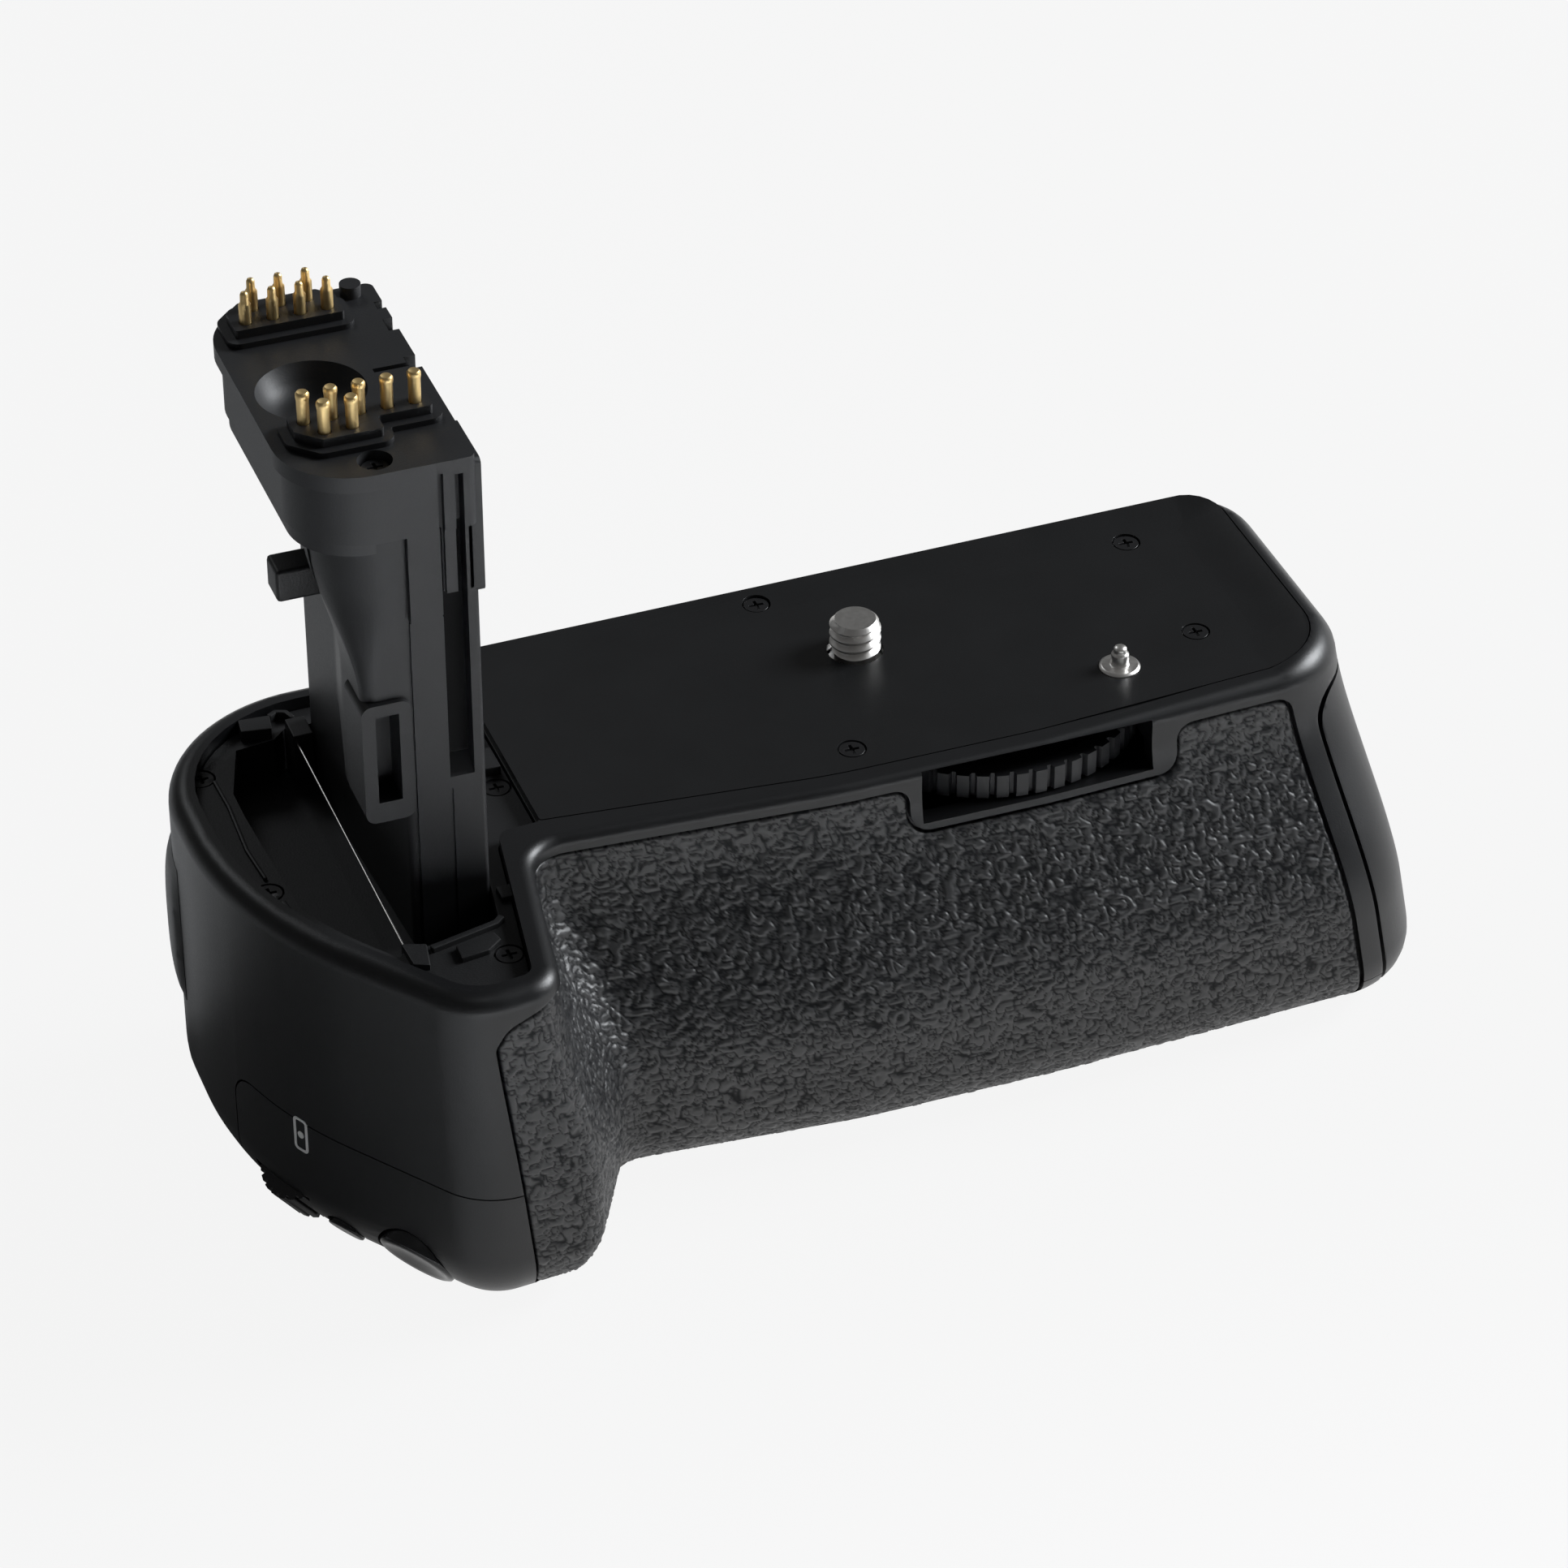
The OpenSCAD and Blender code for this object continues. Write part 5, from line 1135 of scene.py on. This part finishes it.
# Stage
FLOOR_SIZE, FLOOR_GAP, PAPER = 4.0, 0.0002, (0.82, 0.82, 0.82, 1)
# The floor's glow for glossy rays, and the patch where it shows, make a painted reflection in front of the
# grip.
PALE, FLOOR_SEEN, PAINTED_TABLE_GLOW, WORLD_LIGHT, WORLD_SHINE = (0.93, 0.93, 0.93, 1), 0.965, 1.0, 0.04, 0.05
GLOW_PATCH_X, GLOW_PATCH_Y = (-0.088, -0.058), (-0.34, -0.16)


def number(tree, operation, a, b):
    """The output of a sum or product of sockets and plain numbers."""
    node = tree.nodes.new("ShaderNodeMath")
    node.operation = operation
    for socket, value in zip(node.inputs, (a, b)):
        if isinstance(value, float):
            socket.default_value = value
        else:
            tree.links.new(value, socket)
    return node.outputs[0]


def fade(tree, value, ends):
    """A soft step of a value, from 0 at one end to 1 at the other."""
    node = add_node(tree, "MapRange", {"From Min": ends[0], "From Max": ends[1]}, {"Value": value})
    node.interpolation_type = "SMOOTHSTEP"
    return node.outputs["Result"]


def mix_out(tree, share, first, second, output):
    """Sends a mix of two shaders to a tree's output."""
    mix = add_node(tree, "MixShader", links={0: share, 1: first.outputs[0], 2: second.outputs[0]})
    tree.links.new(mix.outputs[0], tree.nodes[output].inputs["Surface"])


def paper_material():
    """White paper that the camera sees pale, and that glows for glossy rays only in a patch in front of the
    grip: a painted reflection.
    """
    mat = bpy.data.materials.new("floor_paper")
    mat.use_nodes = True
    tree = mat.node_tree
    shader = tree.nodes["Principled BSDF"]
    shader.inputs["Roughness"].default_value = 0.9
    shader.inputs["Base Color"].default_value = PAPER
    shader.inputs["Specular IOR Level"].default_value = 0.1
    glow = add_node(tree, "Emission", {"Color": PALE})
    path = add_node(tree, "LightPath")
    spot = add_node(tree, "SeparateXYZ", links={0: add_node(tree, "TexCoord").outputs["Object"]})
    # Painted reflection: glossy rays see the floor glow in a patch in front of the grip.
    along, across = fade(tree, spot.outputs["X"], GLOW_PATCH_X), fade(tree, spot.outputs["Y"], GLOW_PATCH_Y)
    near = number(tree, "MULTIPLY", number(tree, "MULTIPLY", along, across), PAINTED_TABLE_GLOW)
    shine = number(tree, "MULTIPLY", path.outputs["Is Glossy Ray"], near)
    seen = number(tree, "MULTIPLY", path.outputs["Is Camera Ray"], FLOOR_SEEN)
    mix_out(tree, number(tree, "ADD", seen, shine), shader, glow, "Material Output")
    return mat


def build_stage():
    half, z = FLOOR_SIZE / 2, BOTTOM * MM - FLOOR_GAP
    mesh = bpy.data.meshes.new("floor")
    mesh.from_pydata([(-half, -half, z), (half, -half, z), (half, half, z), (-half, half, z)], [],
                     [(0, 1, 2, 3)])
    mesh.materials.append(paper_material())
    add_object("floor", mesh)


def build_world():
    world = bpy.data.worlds.new("studio")
    scene.world = world
    world.use_nodes = True
    tree = world.node_tree
    light = tree.nodes["Background"]
    light.inputs["Color"].default_value = (1, 1, 1, 1)
    light.inputs["Strength"].default_value = WORLD_LIGHT
    seen = add_node(tree, "Background", {"Color": PALE})
    path = add_node(tree, "LightPath")
    shine = number(tree, "MULTIPLY", path.outputs["Is Glossy Ray"], WORLD_SHINE)
    mix_out(tree, number(tree, "ADD", path.outputs["Is Camera Ray"], shine), light, seen, "World Output")


LAMP_COLOUR = (0.94, 0.97, 1.0)


def add_light(name, at, aim, size, power, spread=180.0):
    data = bpy.data.lights.new(name, "AREA")
    data.shape = "RECTANGLE"
    data.size, data.size_y = size
    data.energy = power
    data.spread = math.radians(spread)
    data.color = LAMP_COLOUR
    obj = add_object(name, data)
    obj.location = at
    way = Vector(aim) - Vector(at)
    obj.rotation_euler = way.to_track_quat("-Z", "Y").to_euler()


def build_lights():
    """A soft key from the right, a lamp over the white table in front of the grip, and a weak lamp behind."""
    add_light("key", (1.0, 0.02, 0.58), (0.0, 0.0, 0.0), (0.5, 0.5), 18.0)
    add_light("table_lamp", (0.22, -0.38, 0.45), (0.22, -0.38, -0.05), (0.8, 0.42), 4.4, 35.0)
    add_light("back_lamp", (-0.25, 0.9, 0.75), (0.03, 0.0, 0.0), (0.45, 0.3), 1.0)


VIEW_AZ, VIEW_EL = -20.5, 36.0
IMAGE, FOCAL_PX, SENSOR = 1932, 7000.0, 36.0
CAMERA_AT = (-0.208294, -0.532320, 0.394781)


def build_camera():
    data = bpy.data.cameras.new("camera")
    data.sensor_width = SENSOR
    data.lens = FOCAL_PX / IMAGE * SENSOR
    data.clip_start = 0.01
    cam = add_object("camera", data)
    cam.location = CAMERA_AT
    cam.rotation_euler = (math.radians(90 - VIEW_EL), 0, math.radians(VIEW_AZ))
    scene.camera = cam


# Nodes that keep their own shape: those with rounded edges, and those inside
DRESSED = (("tower_catch", BAY, 0.6), ("plate_screws", SCREW, 0.05), ("bay_screws", SCREW, 0.05),
           ("cap_screws", SCREW, 0.05), ("bottom_screws", SCREW, 0.05), ("attach_wheel", TOWER, 0.1),
           ("area_button", GLOSS, 0.3), ("main_dial", GLOSS, 0.1), ("focus_button", GLOSS, 0.3),
           ("lock_button", GLOSS, 0.3), ("point_button", GLOSS, 0.3), ("power_lever", GLOSS, 0.3),
           ("lock_knob", CASING, 0.12), ("tripod_socket", NICKEL, 0.15), ("chassis", BAY, 0.0),
           ("magazine_tray", BAY, 0.1))
INNER = (("screw_gear", NICKEL), ("wheel_axle", NICKEL), ("dial_axle", NICKEL), ("lock_spindle", NICKEL),
         ("main_board", BOARD), ("tower_board", BOARD), ("control_board", BOARD), ("shutter_switch", GLOSS),
         ("area_switch", GLOSS), ("chamber_contacts", GILT), ("magazine_contacts", GILT))


scene.view_settings.view_transform = "Standard"
build_camera()
build_world()
build_stage()
build_lights()
build_casing()
build_plate()
build_bay()
build_thumb_pad()
build_shutter()
build_mark()
build_front_grip()
build_camera_screw()
build_locating_pin()
build_column()
build_cap()
build_blocks()
build_pins()
for name, mat, width in DRESSED:
    dress(name, mat, width)
for name, mat in INNER:
    mesh = frame["nodes"][name].data
    mesh.materials.clear()
    mesh.materials.append(mat)
